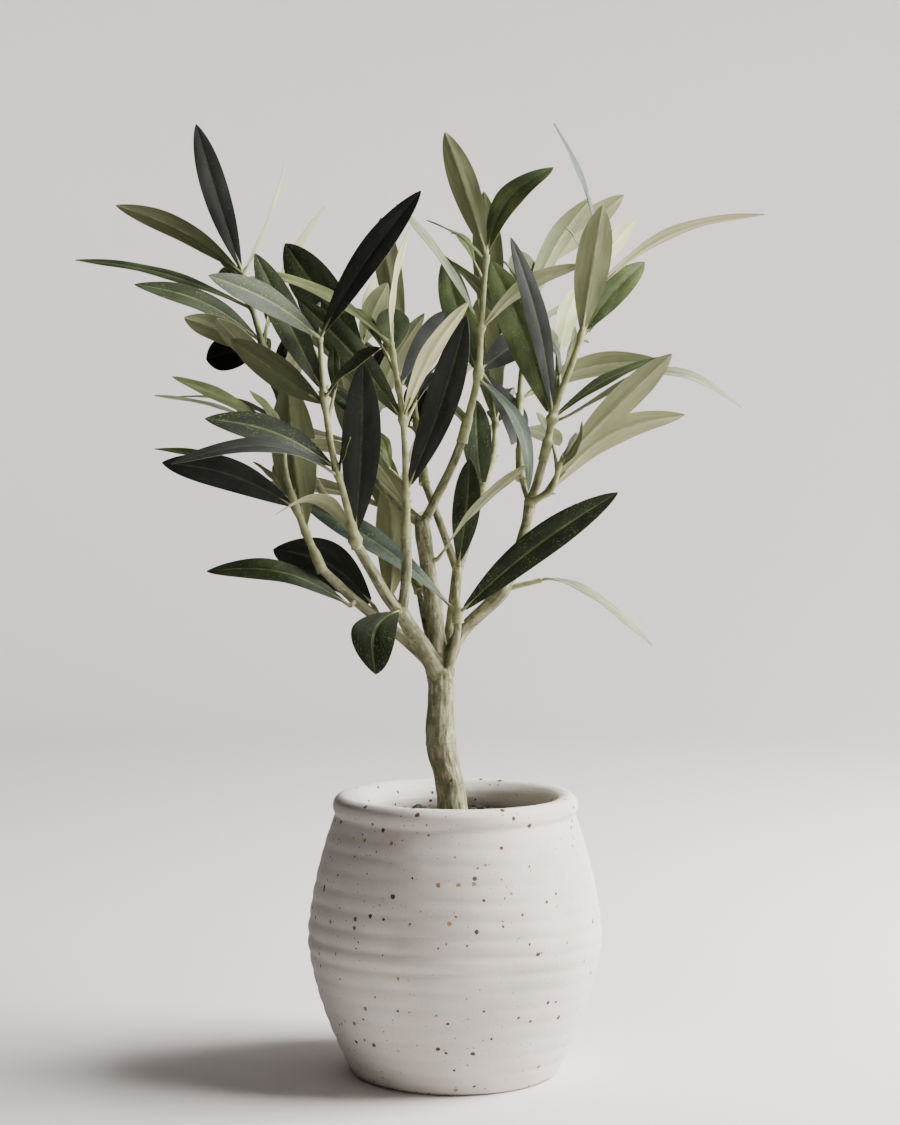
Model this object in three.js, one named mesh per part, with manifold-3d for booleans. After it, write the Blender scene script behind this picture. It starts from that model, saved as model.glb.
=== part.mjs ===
// An artificial olive tree in a speckled stoneware pot.
// Millimetres. +Z is up, +X is right and +Y points away from the front.
// The origin is the centre of the pot's flat underside.
import * as THREE from 'three';
import { mergeVertices } from 'three/addons/utils/BufferGeometryUtils.js';
import Module from 'manifold-3d';

const wasm = await Module();
wasm.setup();

// ---------------------------------------------------------------- driving dimensions

const GAP = 0.3;

const POT = {
  footRadius: 46,
  bellyRadius: 65,
  bellyHeight: 60,
  neckRadius: 53.2,
  neckHeight: 114,
  lipRadius: 54.2,
  lipHeight: 118.5,
  rimRadius: 49.3,
  rimHeight: 122.6,
  mouthRadius: 42.3,
  mouthHeight: 114.5,
  wall: 7,
  floor: 8,
  floorRadius: 39,
  roundness: 1.6,
  sides: 36,
};

const SOIL_HEIGHT = 109.5;
const SOIL_RADIUS = 44.6;

const LEAF = {
  longest: 90,
  petiole: 0.75,
  tip: 0.25,
  bluntness: 0.75,
  thickness: 1.2,
  sides: 4,
  stations: [0, 0.1, 0.28, 0.5, 0.73, 0.91, 1],
};

// How far chance may bend a leaf to the side, as a share of its length, and twist it, in degrees.
const UNEVEN = { sway: 0.06, twist: 24 };

// A leaf of a pair points this far away from its stem. The spreads are what chance adds.
const PAIR = { away: 48, awaySpread: 20, turnSpread: 30, sizeSpread: 0.3, arch: 0.08 };

const STEM = { sleeve: 2.3, sleeveShare: 0.12, foot: 1.8, tip: 1.1, sides: 6, steps: 7 };

// Two leaves of different sprigs keep this far apart, and two of one sprig this far.
const CLEAR_OTHER = 4.2;
const CLEAR_OWN = 2.4;
const CLEAR_LIMB = 1.9;
// How far a leaf may be turned away or forward, in degrees, before it is left out.
const TURNS = [0, 7, -7, 14, -14, 21, -21, 28, -28, 38, -38, 50, -50];

// Open places in the crown: x, z and radius where the line of sight from a viewpoint in front
// crosses the plane y = 0. Leaves that a rule adds keep out of these lines.
const VIEWPOINT = [-2.2, -950, 258];
const OPENINGS = [
  [-10, 376, 7],
  [31, 368, 6],
  [41.5, 383, 6],
  [44.5, 346, 5],
  [27, 308, 6],
  [-29.5, 288, 4],
  [-13, 344, 5],
  [-46, 354, 5],
  [-59.5, 289, 4],
  [68, 327, 6],
  [0, 279, 4],
  [53, 305, 4],
];

// Each limb: its centre line from foot to tip, its widths there, and its swellings.
const LIMBS = [
  {
    name: 'trunk',
    line: [[-0.3, 0, 105], [-2.2, 0, 126], [-6.2, 0, 145], [-6.2, 0, 168], [-6.6, 0, 178]],
    widths: [13.6, 11.2],
    swells: [[0, 2.4], [0.5, 1.4], [1, 2.2]],
    sides: 14,
    steps: 14,
  },
  {
    name: 'bough_front_left',
    line: [[-6, -1, 173], [-13.2, -5, 186.4], [-19, -8, 195.2], [-23.4, -11, 203.5]],
    widths: [9, 6.6],
    sides: 10,
  },
  {
    name: 'bough_right',
    line: [[-5, 1, 176], [3.1, 3, 193.9], [21.2, 3, 212.8], [30.4, 3, 237], [33.5, 3, 252.4]],
    widths: [6.8, 4.6],
    swells: [[0.5, 1.2], [1, 0.8]],
    sides: 8,
    steps: 10,
  },
  {
    name: 'bough_middle',
    line: [[-6.6, 1, 174], [-9.3, 8, 203], [-12.6, 10, 226], [-15, 10, 243.6]],
    widths: [8, 6.6],
    swells: [[0.36, 0.9], [0.85, 0.8]],
    sides: 10,
    steps: 9,
  },
  {
    name: 'bough_left',
    line: [[-7, 2, 176], [-20.7, 1, 189.5], [-44.1, 1, 208], [-58.7, -6, 222.5]],
    widths: [6, 4],
    sides: 8,
    steps: 8,
  },
  {
    name: 'bough_back',
    line: [[-4.5, 3, 175], [-1.3, 13, 199.6], [1.3, 18, 221.5]],
    widths: [5.6, 5.2],
    sides: 8,
  },
  {
    name: 'twig_fork_front',
    line: [[-4, -2, 175], [0.4, -6, 190.8], [1.3, -7, 200.5]],
    widths: [4.2, 3.4],
    sides: 6,
  },
  {
    name: 'twig_behind',
    line: [[-8, 4, 177], [-13.2, 11, 196], [-16.3, 14, 212.8]],
    widths: [2.8, 2.8],
    sides: 6,
  },
  {
    name: 'twig_front',
    line: [[-23.3, -11, 200.5], [-21.2, -12.5, 221.6], [-21.2, -14, 237.9]],
    widths: [4.6, 4.6],
    sides: 8,
  },
  {
    name: 'twig_left_front',
    line: [[-22.5, -11, 201], [-29.5, -14, 210.2], [-35.3, -16, 220.3], [-42.8, -20, 233.5]],
    widths: [5.4, 4.6],
    sides: 8,
  },
  {
    name: 'twig_left_back',
    line: [[-12, 4, 184], [-27, 15, 206], [-45, 22, 233], [-67.5, 21, 268]],
    widths: [4.6, 3.6],
    sides: 6,
  },
  {
    name: 'twig_middle_right',
    line: [[-14.5, 10, 241], [-9, 11, 252], [-1.3, 8, 267.4], [3.5, 5, 279.7]],
    widths: [4.6, 4],
    sides: 8,
  },
  {
    name: 'twig_middle_left',
    line: [[-14, 10, 241], [-24.3, 12, 250.2], [-33.1, 14, 259], [-36.2, 15, 263.9]],
    widths: [5, 4.2],
    sides: 8,
  },
  {
    name: 'twig_right',
    line: [[33, 3, 250.5], [36.2, 2, 259.9], [39.5, 1, 271.5]],
    widths: [4.2, 4],
    sides: 6,
  },
  {
    name: 'twig_right_back',
    line: [[33.5, 3.5, 250], [31.2, 7, 257], [29.5, 9, 263]],
    widths: [3.2, 2.9],
    sides: 6,
  },
  {
    name: 'twig_back_left',
    line: [[1.5, 18, 219], [-6.6, 23, 241.4], [-14.1, 31, 261.2]],
    widths: [3.9, 3.5],
    sides: 6,
  },
  {
    name: 'twig_back_right',
    line: [[1.3, 18, 219], [7.1, 21, 239.2], [11.9, 23, 253.7]],
    widths: [4.2, 3.5],
    sides: 6,
  },
];

// A leaf leaves its stem at a share of the stem's length. Heading is its direction seen from
// the front, in degrees from +X towards +Z, reach its length seen from there, and lean how
// far it turns away from the front. Face turns its upper side from facing the front, 0,
// to facing up, 90, and back, 180. Arch is the rise of its middle as a share of its length,
// highest at peak, sway is its middle's share to the side, and twist turns it towards its tip.
function leaf(at, heading, reach, lean, width, face, { arch = 0.05, twist = 0, peak = 0.5, sway = 0 } = {}) {
  return { at, heading, reach, lean, width, face, arch, twist, peak, sway };
}

// Each sprig: the centre line of its stem, its placed leaves, and the pairs that a rule adds.
const SPRIGS = [
  {
    name: 'sprig_front',
    stem: [[-21.2, -14, 237.6], [-21.2, -16, 253.7], [-22.5, -20, 287.4], [-27.6, -24, 320]],
    leaves: [
      leaf(0.27, 157, 63, -25, 12, 120, { arch: 0.2 }),
      leaf(0.36, 71, 80, -5, 14, 5),
      leaf(0.66, 131, 70, 5, 13, 15),
      leaf(0.67, 60, 56, -12, 11, 125),
      leaf(0.8, 60, 41, 35, 13, 0),
      leaf(0.95, 93, 22, 50, 14, 0),
      leaf(1, 152, 65, -5, 10, 60, { arch: 0.1 }),
      leaf(1, 80, 49, -15, 10, 100),
    ],
  },
  {
    name: 'sprig_front_left',
    stem: [
      [-42.7, -19.9, 233.2], [-47.3, -25, 253.3], [-52.2, -30, 271.8], [-55.8, -36, 298], [-57.1, -40, 321],
    ],
    leaves: [
      leaf(0.02, 160, 35, -25, 13, 115, { arch: 0.33 }),
      leaf(0.03, 87, 76, 14, 16, 0),
      leaf(0.43, 159, 58, -8, 13, 25, { sway: 0.09 }),
      leaf(0.39, 176, 66, -32, 12, 60, { arch: 0.16 }),
      leaf(0.39, 71, 17, -20, 4.5, 60),
      leaf(0.7, 145, 50, 12, 13, 165),
      leaf(0.73, 36, 31, -52, 11, 60),
      leaf(0.75, 116, 65, -3, 13, 10),
      leaf(1, 152, 48, -38, 12, 35, { arch: 0.06 }),
      leaf(1, 54, 73, -14, 11.5, 10),
    ],
  },
  {
    name: 'sprig_left',
    stem: [[-58.6, -6, 222.3], [-67.5, -8, 243.6], [-73.8, -9, 263.4], [-75, -8, 281]],
    leaves: [
      leaf(0.25, 97, 67, 8, 19, 172),
      leaf(0.42, 161, 61, -6, 13.5, 8, { sway: 0.06 }),
      leaf(0.5, 161, 66, 8, 8, 60, { arch: 0.1 }),
      leaf(0.97, 151, 56, 4, 10, 65),
      leaf(1, 163, 54, -10, 8, 88),
      leaf(1, 128, 25, 20, 7, 60),
    ],
  },
  {
    name: 'sprig_left_top',
    stem: [[-67.4, 21, 267.8], [-78.7, 20, 297], [-87, 20, 324], [-95.4, 21, 354]],
    leaves: [
      leaf(0.6, 157, 37, -25, 12, 150),
      leaf(0.62, 186, 29, 42, 15, 0),
      leaf(0.66, 156, 61, -8, 11, 30, { sway: 0.05 }),
      leaf(0.66, 67, 69, 20, 9, 100),
      leaf(0.83, 164, 86, 6, 9, 60, { arch: 0.06 }),
      leaf(0.85, 130, 26, 55, 12, 0),
      leaf(1, 152, 63, -6, 10, 150, { sway: -0.05 }),
      leaf(1, 107, 69, -3, 11.5, 12),
      leaf(1, 72, 56, 22, 9, 95, { arch: -0.05 }),
    ],
    pairs: { shares: [0.2, 0.42], turn: 30, length: 58, width: 12 },
  },
  {
    name: 'sprig_centre_left',
    stem: [[-36.1, 15, 263.7], [-40, 22, 292], [-42, 28, 322]],
    leaves: [
      leaf(0.9, 128, 27, 50, 12, 150),
      leaf(0.95, 79, 43, 48, 9, 110),
      leaf(1, 127, 57, 8, 19, 0),
      leaf(1, 70, 32, 30, 11, 160),
    ],
    pairs: { shares: [0.3, 0.6], turn: 60, length: 60, width: 13 },
  },
  {
    name: 'sprig_tall',
    stem: [[3.4, 5, 279.4], [10, 5, 306.8], [11.5, 5, 328.4], [13.8, 5, 360.7]],
    leaves: [
      leaf(0.33, -66, 55, -12, 12, 55, { arch: 0.16 }),
      leaf(0.35, 105, 56, 12, 13, 0),
      leaf(0.37, 38, 33, 36, 13, 0),
      leaf(0.39, -60, 44, 28, 12, 20, { arch: 0.12 }),
      leaf(0.66, 32, 52, -10, 10, 125, { arch: 0.1, sway: 0.05 }),
      leaf(0.67, 124, 67, 8, 9, 70),
      leaf(0.97, 139, 35, 48, 7, 80),
      leaf(1, 109, 56, -5, 12, 165),
      leaf(1, 53, 50, 5, 12, 25, { arch: 0.08, sway: -0.09 }),
    ],
  },
  {
    name: 'sprig_right',
    stem: [[39.4, 1, 271.3], [44.5, 0, 294], [55, -2, 323.5], [63.8, 3, 364.6]],
    leaves: [
      leaf(0.24, 4, 82, -8, 11, 72, { arch: 0.22, peak: 0.6 }),
      leaf(0.25, 110, 77, 12, 17, 0),
      leaf(0.26, 29, 57, 10, 10, 60, { arch: 0.06 }),
      leaf(0.27, 104, 79, -4, 10, 20),
      leaf(0.68, 82, 54, -8, 15, 175),
      leaf(0.68, 49, 44, 16, 11.5, 10),
      leaf(0.83, 24, 81, -4, 10, 115, { arch: 0.14 }),
      leaf(0.93, 50, 31, 45, 9, 150),
      leaf(1, 110, 58, 6, 9, 75),
    ],
    side: {
      stem: [[44.5, 0, 294], [45.4, 6, 306], [45.9, 12, 317.5]],
      leaves: [
        leaf(1, 122, 17.5, 48, 9, 40),
        leaf(1, 72, 35, 38, 11, 150),
      ],
    },
  },
  {
    name: 'sprig_right_low',
    stem: [[33.5, 2, 251.5], [38, -3, 254], [42.8, -6, 258.1], [46, -8, 269]],
    leaves: [
      leaf(0.5, 30, 68, -10, 13, 150, { arch: 0.1, sway: 0.06 }),
      leaf(1, 45, 64, -6, 12, 160, { arch: 0.06 }),
    ],
  },
  {
    name: 'sprig_back_right',
    stem: [[29.5, 8.9, 262.8], [29.6, 30, 298.5], [33, 40, 330], [36.1, 45, 358]],
    leaves: [
      leaf(0.33, 15, 67, 5, 12, 140, { arch: 0.12, sway: 0.05 }),
      leaf(1, 40, 55, 8, 12, 155),
    ],
    pairs: { shares: [0.2, 0.5, 0.75, 1], turn: 70, length: 62, width: 13 },
  },
  {
    name: 'sprig_back_centre',
    stem: [[11.8, 23, 253.5], [18.4, 35, 279.6], [16.5, 55, 322]],
    leaves: [leaf(0.05, 94, 42, 6, 13, 5)],
    pairs: { shares: [0.35, 0.6, 0.8, 1], turn: 10, length: 64, width: 13 },
  },
  {
    name: 'sprig_back_left',
    stem: [[-14, 30.9, 261], [-18, 48, 290], [-24, 62, 325]],
    leaves: [],
    pairs: { shares: [0.2, 0.45, 0.7, 1], turn: 0, length: 62, width: 13 },
  },
  {
    name: 'sprig_back_low',
    stem: [[-16.3, 14, 212.5], [-26, 38, 240], [-42, 60, 276]],
    leaves: [],
    pairs: { shares: [0.4, 0.6, 0.8, 1], turn: 95, length: 62, width: 13 },
  },
  {
    name: 'leaves_fork',
    stem: [[1.3, -7, 200.3], [1.2, -7.5, 205], [0.9, -8, 209.3]],
    leaves: [
      leaf(0.2, 38, 87, -12, 13.5, 12, { sway: -0.02 }),
      leaf(0.3, 145, 84, 0, 12, 88, { twist: 88 }),
    ],
  },
  {
    name: 'leaf_front_low',
    stem: [[-23.4, -11, 203], [-24.5, -15.5, 204.5]],
    leaves: [leaf(1, -110, 28, -30, 19, 20, { arch: 0.25, sway: 0.15 })],
  },
  {
    name: 'leaf_left_low',
    stem: [[-34, 2, 201], [-36, 6, 205]],
    leaves: [leaf(1, 151, 52, 10, 19, 8, { sway: 0.12 })],
  },
  {
    name: 'leaf_left_end',
    stem: [[-44.1, 1, 208], [-46, -4, 206]],
    leaves: [leaf(1, 166, 64, -8, 11, 45, { arch: 0.1, sway: 0.06 })],
  },
  {
    name: 'leaf_right_low',
    stem: [[21.2, 3, 212.8], [38, 0, 217]],
    leaves: [leaf(1, -30, 56, -8, 10, 65, { arch: 0.12, peak: 0.35 })],
  },
  {
    name: 'leaf_middle',
    stem: [[-21, -8.5, 199.5], [-29, 4, 207]],
    leaves: [leaf(1, 92, 54, 6, 15, 172)],
  },
  {
    name: 'leaf_back',
    stem: [[1.2, 18, 219], [1.5, 13.5, 223]],
    leaves: [leaf(1, 84, 48, -8, 12, 5)],
  },
  {
    name: 'leaf_fork_back',
    stem: [[-12.3, 10, 223.8], [-8, 8, 226]],
    leaves: [leaf(1, 47, 57, -2, 9, 80, { twist: 60 })],
  },
];

const COLOURS = {
  clay: 0xc9c4bd,
  soil: 0x2c2823,
  bark: 0x8d8a72,
  leaf: 0x4c5236,
};

// ---------------------------------------------------------------- solids

function vector([x, y, z]) {
  return new THREE.Vector3(x, y, z);
}

function signedVolume(positions, triangles) {
  const [a, b, c] = [new THREE.Vector3(), new THREE.Vector3(), new THREE.Vector3()];
  let volume = 0;
  for (let i = 0; i < triangles.length; i += 3) {
    a.fromArray(positions, 3 * triangles[i]);
    b.fromArray(positions, 3 * triangles[i + 1]);
    c.fromArray(positions, 3 * triangles[i + 2]);
    volume += a.dot(b.cross(c)) / 6;
  }
  return volume;
}

// A closed solid from a geometry, with its faces pointing out.
function solid(geometry) {
  const bare = geometry.clone();
  bare.deleteAttribute('normal');
  bare.deleteAttribute('uv');
  const merged = mergeVertices(bare, 1e-4);
  const positions = merged.getAttribute('position').array;
  const corners = merged.getIndex().array;
  const triangles = [];
  for (let i = 0; i < corners.length; i += 3) {
    const [a, b, c] = [corners[i], corners[i + 1], corners[i + 2]];
    if (a !== b && b !== c && c !== a) triangles.push(a, b, c);
  }
  if (signedVolume(positions, triangles) < 0) triangles.reverse();
  return new wasm.Manifold(new wasm.Mesh({
    numProp: 3,
    vertProperties: new Float32Array(positions),
    triVerts: new Uint32Array(triangles),
  }));
}

// The largest piece of a solid. Loose scraps and sealed hollows are left behind.
function largest(shape) {
  return shape.decompose().reduce((kept, piece) => (piece.volume() > kept.volume() ? piece : kept));
}

function meshOf(name, shape, colour, roughness) {
  const { vertProperties, triVerts } = shape.getMesh();
  const geometry = new THREE.BufferGeometry();
  geometry.setAttribute('position', new THREE.BufferAttribute(vertProperties, 3));
  geometry.setIndex(new THREE.BufferAttribute(triVerts, 1));
  geometry.computeVertexNormals();
  const material = new THREE.MeshStandardMaterial({ color: colour, roughness, metalness: 0 });
  const mesh = new THREE.Mesh(geometry, material);
  mesh.name = name;
  return mesh;
}

// ---------------------------------------------------------------- pot and soil

function barrelRadius(height) {
  const above = height > POT.bellyHeight;
  const span = above ? POT.neckHeight - POT.bellyHeight : POT.bellyHeight;
  const drop = POT.bellyRadius - (above ? POT.neckRadius : POT.footRadius);
  const share = Math.abs(height - POT.bellyHeight) / span;
  return POT.bellyRadius - drop * share ** POT.roundness;
}

function heights(from, to, count) {
  return Array.from({ length: count + 1 }, (_, i) => from + ((to - from) * i) / count);
}

function point(radius, height) {
  return new THREE.Vector2(radius, height);
}

// The inner wall from the soil's edge down to the floor, drawn in by a gap.
function innerWall(gap) {
  const wall = heights(98, 18, 4).map((z) => point(barrelRadius(z) - POT.wall - gap, z));
  return [point(SOIL_RADIUS - gap, SOIL_HEIGHT), ...wall, point(POT.floorRadius - gap, POT.floor + gap)];
}

function turned(outline, sides) {
  const geometry = new THREE.LatheGeometry(outline, sides);
  geometry.rotateX(Math.PI / 2);
  return solid(geometry);
}

function makePot() {
  const outside = heights(0, POT.neckHeight, 9).map((z) => point(barrelRadius(z), z));
  const lip = [
    point(POT.lipRadius, POT.lipHeight - 1.5),
    point(POT.lipRadius - 0.4, POT.lipHeight + 1.5),
    point((POT.lipRadius + POT.rimRadius) / 2, POT.rimHeight - 0.5),
    point(POT.rimRadius, POT.rimHeight),
    point(POT.rimRadius - 3.3, POT.rimHeight - 1.2),
    point(POT.mouthRadius + 0.8, POT.mouthHeight + 3.6),
    point(POT.mouthRadius, POT.mouthHeight),
  ];
  const outline = [point(0, 0), ...outside, ...lip, ...innerWall(0), point(0, POT.floor)];
  return turned(outline, POT.sides);
}

function makeSoil() {
  const outline = [point(0, SOIL_HEIGHT), ...innerWall(GAP), point(0, POT.floor + GAP)];
  return turned(outline, POT.sides);
}

// ---------------------------------------------------------------- limbs

function lineOf(points) {
  return new THREE.CatmullRomCurve3(points.map(vector), false, 'catmullrom', 0.5);
}

function frameAt(line, share) {
  const centre = line.getPoint(share);
  const along = line.getTangent(share);
  const side = new THREE.Vector3().crossVectors(along, new THREE.Vector3(0, 1, 0)).normalize();
  const back = new THREE.Vector3().crossVectors(side, along);
  return { centre, along, side, back };
}

function limbRadius(limb, share, grown = 0) {
  const [foot, tip] = limb.widths;
  const swells = (limb.swells ?? []).map(([at, rise]) => rise * Math.exp(-(((share - at) / 0.1) ** 2)));
  return (foot + (tip - foot) * share + swells.reduce((sum, rise) => sum + rise, 0)) / 2 + grown;
}

// A tapering tube along a line. Its ends are moved out by the same amount that it is grown.
function tube(line, radiusAt, sides, steps, grown = 0) {
  const geometry = new THREE.CylinderGeometry(1, 1, 1, sides, steps);
  const places = geometry.getAttribute('position');
  for (let i = 0; i < places.count; i += 1) {
    const share = places.getY(i) + 0.5;
    const { centre, along, side, back } = frameAt(line, share);
    const radius = radiusAt(share);
    const end = (share > 0.999 ? grown : 0) - (share < 0.001 ? grown : 0);
    centre.addScaledVector(along, end);
    centre.addScaledVector(side, places.getX(i) * radius).addScaledVector(back, places.getZ(i) * radius);
    places.setXYZ(i, centre.x, centre.y, centre.z);
  }
  return solid(geometry);
}

function limbSolid(limb, grown = 0) {
  const radiusAt = (share) => limbRadius(limb, share, grown);
  return tube(lineOf(limb.line), radiusAt, limb.sides, limb.steps ?? 6, grown);
}

// The block that holds everything below a limb's flat cut at the soil.
function belowSoil() {
  const size = 2 * POT.bellyRadius;
  const block = new THREE.BoxGeometry(size, size, size);
  block.translate(0, 0, SOIL_HEIGHT + GAP - size / 2);
  return solid(block);
}

// Each limb is cut level at the soil, and clear of the limbs before it.
function makeLimbs() {
  const made = [];
  for (const limb of LIMBS) {
    let shape = limbSolid(limb).subtract(belowSoil());
    for (const earlier of made) shape = shape.subtract(earlier.grown);
    made.push({ name: limb.name, shape: largest(shape), grown: limbSolid(limb, GAP) });
  }
  return made;
}

function limbSamples(limb) {
  const line = lineOf(limb.line);
  return heights(0, 1, 20).map((share) => ({ place: line.getPoint(share), radius: limbRadius(limb, share) }));
}

function stemSamples({ name, stem }) {
  const line = lineOf(stem);
  return heights(0, 1, 20).map((share) => ({ place: line.getPoint(share), radius: STEM.foot, sprig: name }));
}

// ---------------------------------------------------------------- leaves

let seed = 41;

function chance() {
  seed = (seed * 16807) % 2147483647;
  return seed / 2147483647;
}

function spread(amount) {
  return (chance() - 0.5) * amount;
}

function square(direction, reference) {
  return reference.clone().addScaledVector(direction, -reference.dot(direction)).normalize();
}

// The upper side's direction for a leaf that faces the front by the given angle.
function facing(direction, face) {
  const front = square(direction, new THREE.Vector3(0, -1, 0));
  const up = new THREE.Vector3().crossVectors(direction, front);
  if (up.z < 0) up.negate();
  const angle = THREE.MathUtils.degToRad(face);
  return front.multiplyScalar(Math.cos(angle)).addScaledVector(up, Math.sin(angle));
}

function headed(heading, lean) {
  const [turn, tilt] = [THREE.MathUtils.degToRad(heading), THREE.MathUtils.degToRad(lean)];
  return new THREE.Vector3(Math.cos(turn) * Math.cos(tilt), Math.sin(tilt), Math.sin(turn) * Math.cos(tilt));
}

// Turns a direction away from the front by an angle in degrees.
function leaned(direction, turn) {
  const away = square(direction, new THREE.Vector3(0, 1, 0));
  const angle = THREE.MathUtils.degToRad(turn);
  return direction.clone().multiplyScalar(Math.cos(angle)).addScaledVector(away, Math.sin(angle));
}

// A blade's place: its root, direction, length, upper side, and the shape of its bend.
function placeBlade(plan, turn) {
  const direction = leaned(plan.direction, turn);
  const across = Math.sqrt(Math.max(0.04, 1 - direction.y ** 2));
  const length = Math.min(plan.reach / across, LEAF.longest);
  const upper = plan.face === null ? square(direction, plan.above) : facing(direction, plan.face);
  const side = new THREE.Vector3().crossVectors(direction, upper);
  return { ...plan, direction, length, upper, side };
}

// A blade's width at a share of its length, from a narrow foot to a blunter tip.
function outline(share) {
  const widest = 1 / (1 + LEAF.bluntness);
  return (share / widest) * (Math.max(0, 1 - share) / (1 - widest)) ** LEAF.bluntness;
}

function halfWidth(blade, share) {
  const least = LEAF.petiole + (LEAF.tip - LEAF.petiole) * share;
  return Math.max(least, (blade.width / 2) * outline(share));
}

// The centre of a blade at a share of its length, and its two directions across there.
function bladeFrame(blade, share) {
  const bend = Math.sin(Math.PI * share ** (Math.log(0.5) / Math.log(blade.peak)));
  const centre = blade.root.clone().addScaledVector(blade.direction, blade.length * share);
  centre.addScaledVector(blade.upper, blade.arch * blade.length * bend);
  centre.addScaledVector(blade.side, blade.sway * blade.length * Math.sin(Math.PI * share));
  const angle = THREE.MathUtils.degToRad(blade.twist) * share;
  const side = blade.side.clone().multiplyScalar(Math.cos(angle)).addScaledVector(blade.upper, Math.sin(angle));
  const upper = new THREE.Vector3().crossVectors(side, blade.direction);
  return { centre, side, upper };
}

function bladeSolid(blade) {
  const last = LEAF.stations.length - 1;
  const geometry = new THREE.CylinderGeometry(1, 1, 1, LEAF.sides, last);
  const places = geometry.getAttribute('position');
  for (let i = 0; i < places.count; i += 1) {
    const share = LEAF.stations[Math.round((places.getY(i) + 0.5) * last)];
    const { centre, side, upper } = bladeFrame(blade, share);
    const thickness = LEAF.thickness / 2 + (LEAF.tip - LEAF.thickness / 2) * share;
    centre.addScaledVector(side, places.getX(i) * halfWidth(blade, share));
    centre.addScaledVector(upper, places.getZ(i) * thickness);
    places.setXYZ(i, centre.x, centre.y, centre.z);
  }
  return solid(geometry);
}

function bladeSamples(blade) {
  const samples = [];
  for (const share of heights(0.2, 1, 14)) {
    const { centre, side } = bladeFrame(blade, share);
    for (const across of [-0.9, -0.45, 0, 0.45, 0.9]) {
      samples.push(centre.clone().addScaledVector(side, across * halfWidth(blade, share)));
    }
  }
  return samples;
}

function isClear(samples, sprig, taken, limbs) {
  const nearLimb = samples.some((place) => limbs.some(
    (limb) => limb.sprig !== sprig && place.distanceTo(limb.place) < limb.radius + CLEAR_LIMB,
  ));
  if (nearLimb) return false;
  const middle = samples[samples.length >> 1];
  return !taken.some((other) => {
    const least = other.sprig === sprig ? CLEAR_OWN : CLEAR_OTHER;
    if (middle.distanceTo(other.middle) > LEAF.longest + least) return false;
    return samples.some((place) => other.samples.some((near) => place.distanceTo(near) < least));
  });
}

// Whether none of the places stands in the line of sight through an opening.
function keepsOpen(samples) {
  const [eyeX, eyeY, eyeZ] = VIEWPOINT;
  return samples.every(({ x, y, z }) => {
    const scale = eyeY / (eyeY - y);
    const across = eyeX + (x - eyeX) * scale;
    const height = eyeZ + (z - eyeZ) * scale;
    return OPENINGS.every(([openX, openZ, radius]) => Math.hypot(across - openX, height - openZ) >= radius);
  });
}

// ---------------------------------------------------------------- sprigs

function placedPlan(line, row) {
  return {
    ...row,
    root: line.getPoint(row.at),
    direction: headed(row.heading, row.lean),
    above: null,
  };
}

// Opposite pairs, each turned a quarter from the pair below it.
function pairedPlans(line, pairs) {
  const plans = [];
  pairs.shares.forEach((at, order) => {
    const { centre, along, side, back } = frameAt(line, at);
    for (const half of [0, 180]) {
      const turn = THREE.MathUtils.degToRad(pairs.turn + 90 * order + half + spread(PAIR.turnSpread));
      const away = THREE.MathUtils.degToRad(PAIR.away + spread(PAIR.awaySpread));
      const direction = along.clone().multiplyScalar(Math.cos(away));
      direction.addScaledVector(side, Math.cos(turn) * Math.sin(away));
      direction.addScaledVector(back, Math.sin(turn) * Math.sin(away));
      const length = pairs.length * (1 + spread(PAIR.sizeSpread));
      const reach = length * Math.sqrt(1 - direction.y ** 2);
      const width = pairs.width * (1 + spread(PAIR.sizeSpread));
      const bend = { arch: PAIR.arch, twist: 0, peak: 0.5, sway: 0 };
      plans.push({ root: centre, direction, reach, width, face: null, above: along, ...bend });
    }
  });
  return plans;
}

function growLeaves(sprig, stem, rows, pairs, taken, limbs) {
  const line = lineOf(stem);
  const plans = rows.map((row) => placedPlan(line, row));
  if (pairs) plans.push(...pairedPlans(line, pairs));
  const blades = [];
  for (const plan of plans) {
    plan.sway += spread(UNEVEN.sway);
    plan.twist += spread(UNEVEN.twist);
    const isPlaced = plan.face !== null;
    for (const turn of TURNS) {
      const blade = placeBlade(plan, turn);
      const samples = bladeSamples(blade);
      if ((isPlaced || keepsOpen(samples)) && isClear(samples, sprig, taken, limbs)) {
        taken.push({ sprig, samples, middle: samples[samples.length >> 1] });
        blades.push(blade);
        break;
      }
    }
  }
  return blades;
}

function stemRadius(share) {
  const sleeve = share < STEM.sleeveShare ? STEM.sleeve - STEM.foot : 0;
  return STEM.foot + (STEM.tip - STEM.foot) * share + sleeve;
}

function stemSolid(stem) {
  const short = stem.length < 3;
  return tube(lineOf(stem), short ? () => STEM.tip : stemRadius, STEM.sides, short ? 1 : STEM.steps);
}

function makeSprigs(limbShapes) {
  const limbs = [...LIMBS.flatMap(limbSamples), ...SPRIGS.flatMap(stemSamples)];
  const taken = [];
  return SPRIGS.map((sprig) => {
    const blades = growLeaves(sprig.name, sprig.stem, sprig.leaves, sprig.pairs, taken, limbs);
    let shape = stemSolid(sprig.stem);
    if (sprig.side) {
      const { stem, leaves } = sprig.side;
      blades.push(...growLeaves(sprig.name, stem, leaves, null, taken, limbs));
      shape = shape.add(tube(lineOf(stem), () => STEM.tip, STEM.sides, 3));
    }
    for (const blade of blades) shape = shape.add(bladeSolid(blade));
    for (const limb of limbShapes) shape = shape.subtract(limb.grown);
    return { name: sprig.name, shape: largest(shape) };
  });
}

// ---------------------------------------------------------------- assembly

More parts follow.
